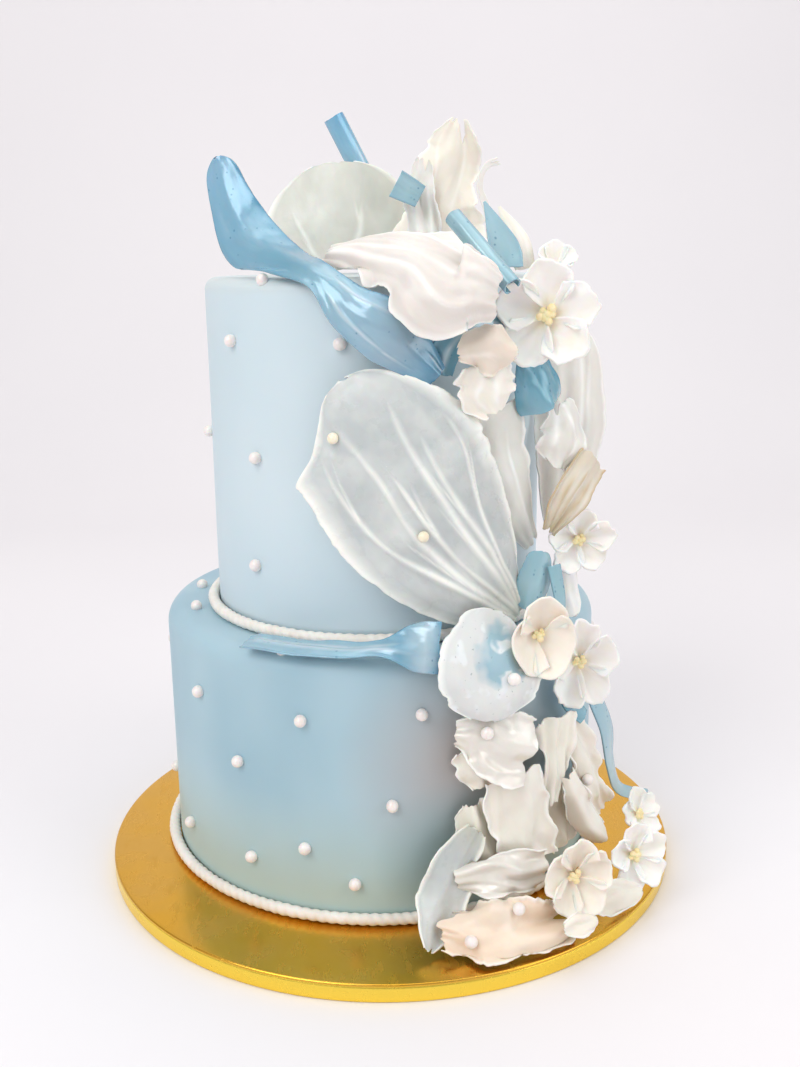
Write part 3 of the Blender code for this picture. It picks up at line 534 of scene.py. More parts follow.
def flower_paste(name, tint, heart):
    """Flower paste rolled thin: matt and chalky, with a warmer heart."""
    def build(tree, shader):
        warm = levels(tree, painted(tree, "heart"), 0.55, 0.95, 0, 0.8)
        colour = blend_colours(tree, warm, tint, heart)
        clouds = levels(tree, speckle(tree, 8 * MM, detail=3), 0.45, 0.75, 0, 0.25)
        colour = blend_colours(tree, clouds, colour, heart)
        colour = blend_colours(tree, times(tree, painted(tree, "rim"), 0.25), colour, "#fdfbf7")
        feed(tree, shader, base_color=colour, roughness=0.55, subsurface_weight=0.3,
             subsurface_scale=2.5 * MM, normal=relief(tree, speckle(tree, 4 * MM, detail=3), 0.15 * MM))
    return finish(name, build)


def white_paste():
    """The white flowers' paste."""
    return flower_paste("white flower paste", colours().flower_white, "#f5eac9")


def blush_paste():
    """The blush blooms' paste."""
    return flower_paste("blush flower paste", "#f5ece0", "#e6d6bd")


def stamen_paste():
    """Little balls of yellow paste for the flowers' hearts, matt and grainy."""
    def build(tree, shader):
        tint = blend_colours(tree, levels(tree, speckle(tree, 2 * MM), 0.3, 0.7), "#fbeec6", "#f5e0a4")
        feed(tree, shader, base_color=tint, roughness=0.6, subsurface_weight=0.2, subsurface_scale=1 * MM,
             normal=relief(tree, speckle(tree, 0.5 * MM), 0.05 * MM))
    return finish("yellow stamen paste", build)


# Shapes


def settle(piece, nodes, material):
    """Finishes a piece: its material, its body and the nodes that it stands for."""
    piece.data.materials.append(material)
    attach(piece, "root")
    if nodes:
        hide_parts(*nodes)


def piece_from(bm, name):
    """Puts a finished bmesh in the scene as a smooth piece."""
    mesh = bpy.data.meshes.new(name)
    bm.to_mesh(mesh)
    bm.free()
    mesh.shade_smooth()
    piece = bpy.data.objects.new(name, mesh)
    bpy.context.scene.collection.objects.link(piece)
    return piece


def add_grid(bm, cells, rule, marks=()):
    """Adds a grid to a bmesh, its corners where a rule of (share, side) says, with marks such as vein."""
    layers = [bm.verts.layers.float.get(mark) or bm.verts.layers.float.new(mark) for mark in marks]
    made = bmesh.ops.create_grid(bm, x_segments=cells[0], y_segments=cells[1], size=1)["verts"]
    for corner in made:
        place, *values = rule(0.5 + 0.5 * corner.co.x, corner.co.y)
        corner.co = place
        for layer, value in zip(layers, values):
            corner[layer] = value
    return made


def turned_piece(name, axis, profile, turns, waver=0.0, seed=0):
    """A closed turned piece from a profile of (radius, height), wandering a little like hand work."""
    lengths = [0]
    for (r0, z0), (r1, z1) in zip(profile, profile[1:]):
        lengths.append(lengths[-1] + math.hypot(r1 - r0, z1 - z0))

    def rule(share, side):
        angle = 2 * math.pi * share
        row = round((0.5 + 0.5 * side) * (len(profile) - 1))
        radius, height = profile[row]
        place = Vector((radius * math.sin(angle), -radius * math.cos(angle), height))
        drift = noise.noise(Vector((place.x * 22, place.y * 22, place.z * 14 + seed)))
        grow = 1 + waver * drift / max(radius, 0.02) if radius else 1
        return (Vector((place.x * grow, place.y * grow, place.z)) + axis,)

    bm = bmesh.new()
    add_grid(bm, (turns, len(profile) - 1), rule)
    bmesh.ops.remove_doubles(bm, verts=bm.verts, dist=SEAM)
    bmesh.ops.dissolve_degenerate(bm, edges=bm.edges, dist=0.005 * MM)
    bmesh.ops.recalc_face_normals(bm, faces=bm.faces)
    return piece_from(bm, name)


def arc(centre, radius, start, end, steps):
    """Points of an arc in a profile, with angles in degrees from level outward to straight up."""
    points = []
    for i in range(steps + 1):
        angle = math.radians(start + (end - start) * i / steps)
        points.append((centre[0] + radius * math.cos(angle), centre[1] + radius * math.sin(angle)))
    return points


def straight(start, end, steps):
    """Points along a straight stretch of a profile, without its ends."""
    return [tuple(a + (b - a) * i / steps for a, b in zip(start, end)) for i in range(1, steps)]


def round_axis(axis, reach, angle, level):
    """A place at a distance from a tier's axis, at degrees right of the front and at a height."""
    turn = math.radians(angle)
    return axis + Vector((reach * math.sin(turn), -reach * math.cos(turn), level))


def back_pearls(rows, start, end, spacing, seed):
    """Scattered places for the pearls round the back: staggered rows, each pearl a little off its place."""
    draw = random.Random(seed)
    places = []
    for row, height in enumerate(rows):
        angle = start + spacing * (0.5 if row % 2 else 0)
        while angle < end:
            places.append((angle + draw.uniform(-6, 6), height + draw.uniform(-7, 7)))
            angle += spacing
    return places


def add_pearls(bm, places, radius, seed=1):
    """Adds round pearls to a bmesh, none of them quite true."""
    draw = random.Random(seed)
    for place in places:
        stretch = [1 + draw.uniform(-0.05, 0.03) for _ in range(3)]
        shape = Matrix.Translation(place) @ Matrix.Diagonal((*stretch, 1))
        bmesh.ops.create_icosphere(bm, subdivisions=3, radius=radius, matrix=shape)


def tier_pearls(axis, radius, foot, places):
    """The middles of the pearls pressed into a tier's wall."""
    reach = radius + sizes().pearl_radius - PEARL_SUNK
    return [round_axis(axis, reach, angle, foot + height * MM) for angle, height in places]


def along_rows(rows, share):
    """The values at a share of the way along a smooth curve through the rows."""
    spans = len(rows) - 1
    at = min(max(share, 0), 0.999999) * spans
    first = int(at)
    t = at - first
    before = rows[max(first - 1, 0)]
    start = rows[first]
    end = rows[first + 1]
    after = rows[min(first + 2, spans)]
    values = []
    for a, b, c, d in zip(before, start, end, after):
        bend = (c - a) * t + (2 * a - 5 * b + 4 * c - d) * t * t + (3 * b - a - 3 * c + d) * t ** 3
        values.append(b + 0.5 * bend)
    return values


def facing(turn, tilt):
    """The direction that a face looks in: degrees right of the front, and degrees up."""
    turn = math.radians(turn)
    tilt = math.radians(tilt)
    return Vector((math.sin(turn) * math.cos(tilt), -math.cos(turn) * math.cos(tilt), math.sin(tilt)))


def off_tier(place, axis, radius, top, edge):
    """Moves a place out of a tier until it is clear of the tier's rounded surface."""
    flat = Vector((place.x - axis.x, place.y - axis.y, 0))
    reach = max(flat.length, 1e-6)
    across = reach - (radius - edge)
    above = place.z - (top - edge)
    outside = math.hypot(max(across, 0), max(above, 0))
    clear = SHEET_CLEARANCE - (outside + min(max(across, above), 0) - edge)
    if clear <= 0:
        return place
    if across > 0 and above > 0:
        push = (flat / reach * across + Vector((0, 0, above))).normalized()
    elif across > above:
        push = flat / reach
    else:
        push = Vector((0, 0, 1))
    return place + push * clear


def off_border(place, axis, radius, foot):
    """Moves a place out of the piping round a tier's foot."""
    flat = Vector((place.x - axis.x, place.y - axis.y, 0))
    reach = max(flat.length, 1e-6)
    middle = axis + flat / reach * (radius + 0.5 * BORDER_SIZE)
    middle.z = foot + 0.5 * BORDER_SIZE
    away = place - middle
    clear = BORDER_CLEARANCE + SHEET_CLEARANCE - away.length
    if clear <= 0:
        return place
    return place + away.normalized() * clear


def off_cake(place):
    """Moves a place out of the tiers, their borders and the drum, as a sheet pressed on them would lie."""
    place = off_border(place, BOTTOM_AXIS, BOTTOM_RADIUS, BOARD_HEIGHT)
    place = off_border(place, TOP_AXIS, TOP_RADIUS, BOTTOM_TOP)
    place = off_tier(place, BOTTOM_AXIS, BOTTOM_RADIUS, BOTTOM_TOP, BOTTOM_EDGE)
    place = off_tier(place, TOP_AXIS, TOP_RADIUS, TOP_TOP, TOP_EDGE)
    lowest = BOARD_HEIGHT + SHEET_CLEARANCE
    return Vector((place.x, place.y, max(place.z, lowest)))


def vein_lines(count, begins, seed):
    """The veins that fan out along a sheet, each with a fork: start, end, place, slope, half width in mm."""
    draw = random.Random(seed)
    lines = []
    for i in range(count):
        starts = begins + draw.uniform(0, 0.04)
        home = -0.8 + 1.6 * (i + draw.uniform(0.25, 0.75)) / count
        slope = draw.uniform(-0.1, 0.1)
        lines.append((starts, draw.uniform(0.75, 0.95), home, slope, draw.uniform(1.1, 2.0)))
        forks = starts + draw.uniform(0.12, 0.5)
        fork = draw.choice((-1, 1)) * draw.uniform(0.2, 0.5)
        ends = forks + draw.uniform(0.2, 0.4)
        lines.append((forks, ends, home + slope * (forks - starts), slope + fork, draw.uniform(0.6, 1.1)))
    return lines


def vein_mark(share, place, full_half, lines, seed):
    """How near a place, in mm across the sheet, is to one of its veins, from 0 to 1."""
    nearest = 0
    for number, (begins, ends, home, slope, width) in enumerate(lines):
        grown = share - begins
        if grown < 0 or share > ends:
            continue
        main = number - number % 2
        wander = 0.2 * noise.noise(Vector((2.5 * share, 7 * main, seed)))
        spread = 0.5 + 0.6 * min(1, share / 0.7)
        away = (place - (home + slope * grown + wander) * spread * full_half) / (width * (1.3 - 0.7 * share))
        if abs(away) < 3:
            fade = min(1, grown / 0.05) * min(1, (ends - share) / 0.2)
            fade *= 0.8 + 0.5 * noise.noise(Vector((5 * share, 3 * number, seed + 5)))
            nearest = max(nearest, fade * math.exp(-abs(away) ** 1.5))
    return min(nearest, 1)


def ridged(where):
    """Noise with sharp crests, from 0 to 1, like the creases of crumpled paper."""
    return (1 - abs(noise.noise(where))) ** 3


def sheet_place(rows, form, share, side):
    """A place on a bent sheet, with the way it faces and its vein, edge, share, along and across marks."""
    seed = form["seed"]
    torn = form["torn"]
    for at, end in ((share, 1), (1 - share, -1)):
        tear = noise.noise(Vector((1.8 * side, 3 * seed, end)))
        tear += 0.16 * noise.noise(Vector((6 * side, seed, 4 * end)))
        share -= end * torn * (0.25 + max(tear, -0.25)) * at ** 5
    x, y, z, half, turn, tilt = along_rows(rows, share)
    ahead = along_rows(rows, share + 0.02)
    behind = along_rows(rows, share - 0.02)
    course = (Vector(ahead[:3]) - Vector(behind[:3])).normalized()
    right = course.cross(facing(turn, tilt)).normalized()
    face = right.cross(course)
    full_half = max(half, MIN_HALF)
    round_end = form.get("round_end", 0)
    round_start = form.get("round_start", 0)
    if round_end and share > 1 - round_end:
        half *= math.sqrt(max(1 - ((share - 1 + round_end) / round_end) ** 2, 0))
    if round_start and share < round_start:
        half *= math.sqrt(max(1 - (1 - share / round_start) ** 2, 0))
    lobe_at, lobe_side, growth, breadth = form.get("lobe", (0, 1, 0, 1))
    if side * lobe_side > 0:
        half *= 1 + growth * math.exp(-((share - lobe_at) / breadth) ** 2)
    jag, jag_seed = form.get("jag", (0, 0))
    rim = 3 if side > 0 else 0
    half *= 1 + jag * noise.noise(Vector((6 * share, 9 * jag_seed, rim)))
    length = form["length"]
    ragged = noise.noise(Vector((length * share / 9, seed, rim)))
    ragged += 0.4 * noise.noise(Vector((length * share / 2.6, seed, rim)))
    half *= 1 + torn * min(ragged, 0.2) * abs(side) ** 3 * 1.3
    half = max(half, 0)
    curl = math.radians(form.get("curl", 5))
    across = half * math.sin(curl * side) / curl
    rise = -half * (1 - math.cos(curl * side)) / curl
    ruffle, waves = form.get("ruffle", (0, 1))
    lift = RUFFLE_LAG if side > 0 else 0
    rise += ruffle * abs(side) ** 1.5 * math.sin(2 * math.pi * waves * share + lift)
    fold, folds = form.get("pleat", (0, 1))
    pleated = math.cos(math.pi * folds * side * half / full_half)
    rise += PLEAT_SHARE * fold * min(1, half / FULL_FOLD_HALF) * pleated
    place = side * half
    room = min(1, half / 9) ** 1.5
    vein = vein_mark(share, place, full_half, form["lines"], seed) if form["lines"] else 0
    rise += form["ridge"] * vein * room
    swerve = 0.5 * noise.noise(Vector((2 * share, seed, 9)))
    fan = Vector((form["folds"] * place / full_half + swerve, 1.1 * share, seed))
    rise += form["fold"] * room * (1.6 * noise.noise(fan) + 0.5 * ridged(fan * 0.8) - 0.3)
    grain = Vector((length * share / 18, place / 12, seed))
    rise += form["crumple"] * room * (1.3 * noise.noise(grain) + 0.35 * noise.noise(grain * 2.6))
    frill = noise.noise(Vector((length * share / 14, seed, rim + 8)))
    rise += 2.0 * form["fold"] * room * abs(side) ** 4 * frill
    turned_out = 0.5 + 1.1 * noise.noise(Vector((length * share / 30, seed, rim + 12)))
    rise += form["lip"] * room * turned_out * abs(side) ** 7
    edge = max(abs(side), abs(2 * share - 1) ** 6)
    marks = (vein, edge, share, length * share * MM, place * MM)
    return (Vector((x, y, z)) + right * across + face * rise) * MM, face, marks


def length_of(rows):
    """The length of a sheet's middle line in mm."""
    return sum((Vector(b[:3]) - Vector(a[:3])).length for a, b in zip(rows, rows[1:]))


def middle_of_box(corners):
    """The middle of a box that holds some places."""
    corners = list(corners)
    low = Vector([min(c[i] for c in corners) for i in range(3)])
    high = Vector([max(c[i] for c in corners) for i in range(3)])
    return 0.5 * (low + high)


def into_place(bm, name, away):
    """Moves a sheet or flower out along its facing if the part has it further out, and gives the step."""
    low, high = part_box(name)
    offset = 0.5 * (Vector(low) + Vector(high)) - middle_of_box(v.co for v in bm.verts)
    shift = away * max(offset.dot(away), 0)
    bmesh.ops.translate(bm, verts=bm.verts, vec=shift)
    return shift


def thicken(piece, thickness):
    """Gives a bent sheet its thickness, both ways from its middle."""
    shell = piece.modifiers.new("thickness", "SOLIDIFY")
    shell.thickness = thickness
    shell.offset = 0
    shell.use_even_offset = False


# Sheets: what a sheet has unless it says otherwise, the size of a mesh cell in mm
# with the fewest cells along and across, the marks stored on the corners, and the sheets made so far
PLAIN_SHEET = {"veins": 4, "ridge": 0.5, "fold": 1.0, "folds": 3, "crumple": 0.7, "torn": 0.06, "lip": 1.5}
CELL = 0.75
MIN_CELLS = (20, 10)
MARKS = ("vein", "edge", "share", "along", "across")
SHEETS_MADE = []

# Flowers: the mesh cells of a petal and the angle from one stamen to the next
PETAL_CELLS = (22, 24)
STAMEN_TURN = 2.4


def sheet_material(finish_name, form):
    """The material of a sheet: blue isomalt, flower paste, or rolled sugar of its own look."""
    if finish_name == "blue sugar":
        return poured_blue(form.get("tones", "plain"))
    if finish_name == "flower paste" and "look" not in form:
        return white_paste()
    return sugar_veil(form.get("look", "cream"))


def sheet(name, finish_name, rows, pearls=(), **form):
    """A sugar sheet: rows of x, y, z and half width in mm, then the degrees that it faces right and up."""
    form = PLAIN_SHEET | form | DETAILS.get(name, {})
    form["seed"] = len(SHEETS_MADE) + 1
    SHEETS_MADE.append(name)
    form["length"] = length_of(rows)
    form["lines"] = vein_lines(form["veins"], form.get("begins", 0), form["seed"])
    widest = max(row[3] for row in rows)
    cells = (max(MIN_CELLS[0], round(form["length"] / CELL)), max(MIN_CELLS[1], round(2 * widest / CELL)))
    middle = along_rows(rows, 0.5)

    def rule(share, side):
        share += CLOSER_ENDS * (0.5 - 0.5 * math.cos(math.pi * share) - share)
        place, _, marks = sheet_place(rows, form, share, side)
        return off_cake(place), *marks

    bm = bmesh.new()
    add_grid(bm, cells, rule, MARKS)
    bmesh.ops.remove_doubles(bm, verts=bm.verts, dist=SHEET_SEAM)
    shift = into_place(bm, name, facing(middle[4], middle[5]))
    surface = BVHTree.FromBMesh(bm)
    piece = piece_from(bm, name + "_sheet")
    thicken(piece, sizes().sheet_thickness)
    settle(piece, [name], sheet_material(finish_name, form))
    if pearls:
        places = []
        for share, side in pearls:
            place, face, _ = sheet_place(rows, form, share, side)
            hit = surface.ray_cast(place + shift + face * PEARL_SEARCH, -face)[0] or place + shift
            places.append(hit + face * (sizes().pearl_radius - PEARL_SUNK_IN_SHEET))
        pearl_bm = bmesh.new()
        cream = name == "great_petal"
        pearl_radius = sizes().pearl_radius * (PETAL_PEARL_SCALE if cream else 1)
        add_pearls(pearl_bm, places, pearl_radius, seed=form["seed"])
        pearl_piece = piece_from(pearl_bm, name + "_pearls")
        material = sugar_pearl("#f9f2de", "#f1e4c4", "polished cream pearl") if cream else sugar_pearl()
        settle(pearl_piece, [name], material)


def flower(name, centre, radius, turn, tilt, finish_name="flower paste", **form):
    """A sugar flower: cupped, frilled petals that overlap round a heart of small yellow balls."""
    petals = form.get("petals", 5)
    notch = form.get("notch", 0.35)
    cup = form.get("cup", 0.45)
    stretch = form.get("stretch", 1)
    frill = form.get("frill", 0.07)
    seed = sum(centre)
    face = facing(turn, tilt)
    right = Vector((0, 0, 1)).cross(face).normalized()
    up = face.cross(right)
    middle = Vector(centre) * MM
    half_angle = math.pi / petals * form.get("overlap", 1.3)

    bm = bmesh.new()
    for petal in range(petals):
        home = 2 * math.pi * petal / petals + 0.16 * noise.noise(Vector((petal, seed, 0)))
        size = radius * MM * (1 + 0.16 * noise.noise(Vector((petal * 3.7, seed, 2))))
        lean = 0.16 * noise.noise(Vector((petal * 5.1, seed, 4)))
        curl = 0.10 + 0.22 * noise.noise(Vector((petal * 7.3, seed, 6)))

        def rule(share, side):
            reach = 0.02 + 0.98 * share
            angle = home + side * half_angle * (0.55 + 0.45 * math.sin(0.5 * math.pi * min(1, 1.5 * share)))
            nick = noise.noise(Vector((2.4 * side, petal, seed + 3)))
            nick += 0.4 * noise.noise(Vector((7 * side, petal, seed)))
            span = size * reach * (1 - notch * abs(side) ** 2.2 + 0.11 * nick * share ** 2)
            rise = size * (cup * reach ** 1.6 + lean * reach)
            rise += size * 0.07 * side * math.sin(math.pi * min(1, 1.1 * share))
            rise -= size * 0.10 * (1 - side * side) * math.sin(math.pi * share)
            rise -= size * curl * max(share - 0.55, 0) ** 2
            rise += size * frill * share ** 3 * math.sin(5 * side + 3 * petal + seed)
            rise += size * 0.12 * share ** 2 * noise.noise(Vector((2.5 * side, 2 * share, petal + seed)))
            out = up * math.cos(angle) * stretch - right * math.sin(angle)
            rim = max(share ** 8, abs(side) ** 8 * share ** 4)
            return middle + out * span + face * rise, 1 - reach, rim

        add_grid(bm, PETAL_CELLS, rule, ("heart", "rim"))
    shift = into_place(bm, name, face)
    piece = piece_from(bm, name + "_petals")
    thicken(piece, sizes().petal_thickness)
    blush = finish_name == "blush paste"
    material = blush_paste() if blush else white_paste()
    settle(piece, [name], material)

    draw = random.Random(round(seed))
    heart = bmesh.new()
    for i in range(form.get("stamens", 7)):
        angle = STAMEN_TURN * i
        reach = radius * MM * 0.062 * math.sqrt(i)
        out = up * math.cos(angle) * reach - right * math.sin(angle) * reach
        size = radius * MM * draw.uniform(0.07, 0.1)
        lifted = size + 0.03 * radius * MM + draw.uniform(0, 0.06) * radius * MM
        spot = middle + shift + out + face * lifted
        bmesh.ops.create_icosphere(heart, subdivisions=2, radius=size, matrix=Matrix.Translation(spot))
    hearts = piece_from(heart, name + "_stamens")
    settle(hearts, [name], stamen_paste())


# Pieces of the cake


def make_board():
    """The drum: a foil top turned over the edge, with the seam of the foil band just below the rim."""
    edge = 0.9 * MM
    groove = 0.25 * MM
    top = BOARD_HEIGHT
    out = BOARD_RADIUS
    profile = [(0, top)] + straight((0, top), (out - edge, top), 14)
    profile += arc((out - edge, top - edge), edge, 90, 0, 5)
    profile += [(out, top - 1.15 * MM), (out - groove, top - 1.3 * MM), (out, top - 1.45 * MM)]
    profile += straight((out, top - 1.5 * MM), (out, edge), 5)
    profile += arc((out - edge, edge), edge, 0, -90, 4)
    profile += [(0, 0)]
    piece = turned_piece("foil_drum", Vector((0, 0, 0)), profile, 256)
    settle(piece, ["board"], gold_foil())


def make_tiers():
    """The two iced tiers, each wandering a little from true, as icing smoothed by hand does."""
    for name, axis, radius, top, foot, edge in (
        ("bottom_tier", BOTTOM_AXIS, BOTTOM_RADIUS, BOTTOM_TOP, BOARD_HEIGHT + TIER_CLEARANCE, BOTTOM_EDGE),
        ("top_tier", TOP_AXIS, TOP_RADIUS, TOP_TOP, BOTTOM_TOP + TIER_CLEARANCE, TOP_EDGE),
    ):
        profile = [(0, top)] + straight((0, top), (radius - edge, top), 12)
        profile += arc((radius - edge, top - edge), edge, 90, 0, 10)
        profile += straight((radius, top - edge), (radius, foot), 24)
        profile += [(radius, foot), (0, foot)]
        piece = turned_piece(name + "_icing", axis, profile, 192, waver=sizes().hand_waver, seed=radius)
        settle(piece, [name], airbrushed_icing(name.split("_")[0]))


def make_borders():
    """The rope of royal icing piped round each tier's foot, twisted turn by turn."""
    for name, axis, radius, foot in (
        ("bottom_border", BOTTOM_AXIS, BOTTOM_RADIUS, BOARD_HEIGHT),
        ("top_border", TOP_AXIS, TOP_RADIUS, BOTTOM_TOP),
    ):
        middle = radius + 0.5 * BORDER_SIZE + 0.25 * MM
        turns = round(2 * math.pi * middle / sizes().rope_pitch)

        def rule(share, side):
            angle = 2 * math.pi * share
            around = math.pi * side
            uneven = noise.noise(Vector((9 * math.sin(angle), 9 * math.cos(angle), radius * 99)))
            twist = 0.5 + 0.5 * math.cos(turns * angle + 1.6 * around + 1.2 * uneven)
            size = 0.5 * BORDER_SIZE * (0.84 + 0.17 * twist ** 0.6 + 0.07 * uneven)
            reach = middle + size * math.cos(around) * (1 if math.cos(around) > 0 else 0.95)
            level = foot + 0.5 * BORDER_SIZE + 0.2 * MM + size * 0.95 * math.sin(around)
            return (axis + Vector((reach * math.sin(angle), -reach * math.cos(angle), level)),)

        bm = bmesh.new()
        add_grid(bm, (turns * 9, 14), rule)
        bmesh.ops.remove_doubles(bm, verts=bm.verts, dist=SEAM)
        bmesh.ops.recalc_face_normals(bm, faces=bm.faces)
        piece = piece_from(bm, name + "_rope")
        settle(piece, [name], royal_icing())


def make_pearls():
    """The pearls pressed into the tiers' walls, ledge and rim."""
    radius = sizes().pearl_radius
    low = tier_pearls(BOTTOM_AXIS, BOTTOM_RADIUS, BOARD_HEIGHT,
                      BOTTOM_PEARLS + back_pearls((28, 64, 100), 96, 296, 58, seed=4))
    for angle, reach in LEDGE_PEARLS:
        level = BOTTOM_TOP + radius - PEARL_SUNK
        if reach * MM > BOTTOM_RADIUS - BOTTOM_EDGE:
            level -= LEDGE_DROP
        low.append(round_axis(BOTTOM_AXIS, reach * MM, angle, level))
    high = tier_pearls(TOP_AXIS, TOP_RADIUS, BOTTOM_TOP,
                       TOP_PEARLS + back_pearls((38, 92, 142), 105, 290, 72, seed=9))
    high.append(round_axis(TOP_AXIS, TOP_RADIUS - RIM_PEARL_INSET, RIM_PEARL_ANGLE, TOP_TOP - LEDGE_DROP))
    for name, places in (("bottom_tier", low), ("top_tier", high)):
        bm = bmesh.new()
        add_pearls(bm, places, radius, seed=len(places))
        piece = piece_from(bm, name + "_pearls")
        settle(piece, [name], sugar_pearl())


def shoulder_pieces():
    """The shell, loop, leaf and blooms that hang at the top tier's shoulder."""
    sheet("cream_backing", "cream sugar", [
        (71, -48, 178, 5, 38, 0),
        (63, -60, 198, 12, 34, 0),
        (56, -68, 217, 16, 30, 0),
        (51, -72, 233, 19, 27, 0),
        (48, -74, 247, 19, 25, 5),
    ], curl=30, pleat=(1, 3), jag=(0.1, 4))
    sheet("cream_shell", "cream sugar", [
        (82, -36, 184, 5, 28, 0),
        (88, -36, 204, 15, 22, 0),
        (92, -33, 226, 20, 20, 0),
        (93, -29, 248, 20, 20, 5),
        (93, -25, 268, 15, 20, 10),
        (90, -22, 284, 8, 20, 10),
    ], round_end=0.2, curl=38, pleat=(1.2, 4))
    sheet("ribbon_loop", "blue sugar", [
        (25, -80, 263, 6, 10, 0),
        (29, -82, 275, 7, 15, 0),
        (39, -80, 283, 6, 25, 10),
        (52, -74, 284, 5, 35, 10),
        (63, -66, 276, 6, 40, 0),
    ], curl=15)
    sheet("glossy_leaf", "blue sugar", [
        (66, -68, 273, 9, 35, 0),
        (71, -68, 259, 14, 35, 0),
        (75, -64, 246, 13, 35, -5),
    ], round_start=0.3, curl=45)
    sheet("blush_bloom", "blush paste", [
        (44, -86, 268, 10, 8, 0),
        (45, -88, 261, 14, 8, 0),
        (46, -88, 253, 13, 8, 0),
        (49, -87, 246, 5, 8, 0),
    ], curl=35, ruffle=(1.5, 2), pleat=(1, 2), jag=(0.25, 6))
    sheet("blush_crown", "blush paste", [
        (32, -89, 271, 5, 5, 10),
        (39, -91, 274, 10, 8, 10),
        (48, -91, 274, 12, 12, 10),
        (58, -89, 273, 6, 15, 10),
    ], round_start=0.3, round_end=0.3, curl=45, ruffle=(2, 2), jag=(0.25, 3))
    flower("shoulder_flower", (74, -64, 287), 23, -8, 5, cup=0.35, notch=0.36)
    flower("crown_bud", (79, -44, 306), 9, 10, 50, petals=4, cup=1.1, notch=0.25)


def crown_pieces():
    """The sheets, straws and sails that stand on the top tier."""
    sheet("round_leaf", "white sugar", [
        (-21, 26, 307, 20, -5, 15),
        (-22, 29, 320, 37, -5, 15),
        (-23, 32, 338, 42, -5, 12),
        (-25, 36, 361, 38, -5, 5),
    ], round_end=0.45, curl=25, ruffle=(1.5, 1))
    sheet("tall_straw", "blue sugar", [
        (15, 48, 307, 13, 0, 0),
        (-5, 46, 345, 13, 0, 0),
        (-25, 44, 384, 13, 0, 0),
    ], curl=145)
    sheet("feather", "cream sugar", [
        (33, 17, 307, 20, 0, 10),
        (31, 18, 323, 23, 5, 8),
        (30, 20, 338, 20, 0, 5),
        (33, 22, 352, 17, 5, 0),
        (37, 24, 366, 15, 10, 0),
        (39, 25, 380, 4, 10, 0),
    ], curl=30, ruffle=(2, 2.2), pleat=(1.2, 3), jag=(0.3, 5))
    sheet("crumpled_lobe", "cream sugar", [
        (24, 8, 307, 10, -10, 5),
        (21, 9, 326, 9, -5, 5),
        (19, 10, 345, 8, -5, 5),
        (21, 11, 361, 4, 0, 0),
    ], curl=40, ruffle=(1.5, 2), jag=(0.2, 4))
    sheet("small_tile", "blue sugar", [
        (7, 3, 348, 7, 0, 5),
        (19, 2, 341.5, 5.5, 0, 5),
    ])
    sheet("tendril", "white sugar", [
        (53, 10, 307, 2.5, 10, 0),
        (54, 11, 330, 2, 10, 0),
        (49, 13, 346, 1.6, 10, 0),
        (52, 14, 356, 1.6, 10, 0),
        (59, 15, 359, 2, 10, 0),
    ])
    sheet("back_ruffle", "white sugar", [
        (1, -6, 312, 7, -10, 30),
        (24, -8, 317, 12, 0, 30),
        (45, -14, 315, 10, 10, 30),
        (57, -28, 308, 4, 20, 30),
    ], curl=35, ruffle=(2, 2))
    sheet("yellow_leaf", "cream sugar", [
        (66, -46, 307, 5, 20, 5),
        (62, -44, 320, 6, 15, 5),
        (54, -38, 335, 0.5, 10, 5),
    ], curl=20)
    sheet("flat_blade", "blue sugar", [
        (57, -58, 308, 7, 10, 10),
        (55, -53, 318, 7, 10, 10),
        (47, -42, 337, 0.5, 10, 10),
    ], curl=15)
    sheet("pearl_sail", "blue sugar", [
        (-76, -20, 357, 8, -20, 10),
        (-71, -24, 338, 12, -18, 8),
        (-62, -36, 321, 15, -10, 20),
        (-45, -55, 312, 12, 0, 45),
        (-26, -78, 304, 8, -5, 45),
        (-12, -88, 290, 12, 0, 10),
        (3, -92, 280, 15, 5, 0),
        (15, -90, 270, 11, 15, 0),
        (25, -87, 261, 5, 25, 0),
    ], round_start=0.07, curl=40, pleat=(1, 2))
    sheet("front_sail", "white sugar", [
        (-25, -53, 313, 6, -15, 45),
        (-12, -64, 315, 13, 0, 40),
        (2, -74, 313, 17, 5, 35),
        (15, -84, 309, 19, 8, 30),
        (27, -93, 299, 25, 12, 20),
        (38, -96, 298, 18, 18, 15),
        (49, -92, 294, 11, 25, 10),
    ], curl=35, pleat=(1.4, 5), jag=(0.18, 2))
    sheet("rolled_stick", "blue sugar", [
        (55, -80, 302, 10, 0, 0),
        (43, -66, 317, 10, 0, 0),
        (31, -52, 332, 10, 0, 0),
    ], curl=150)


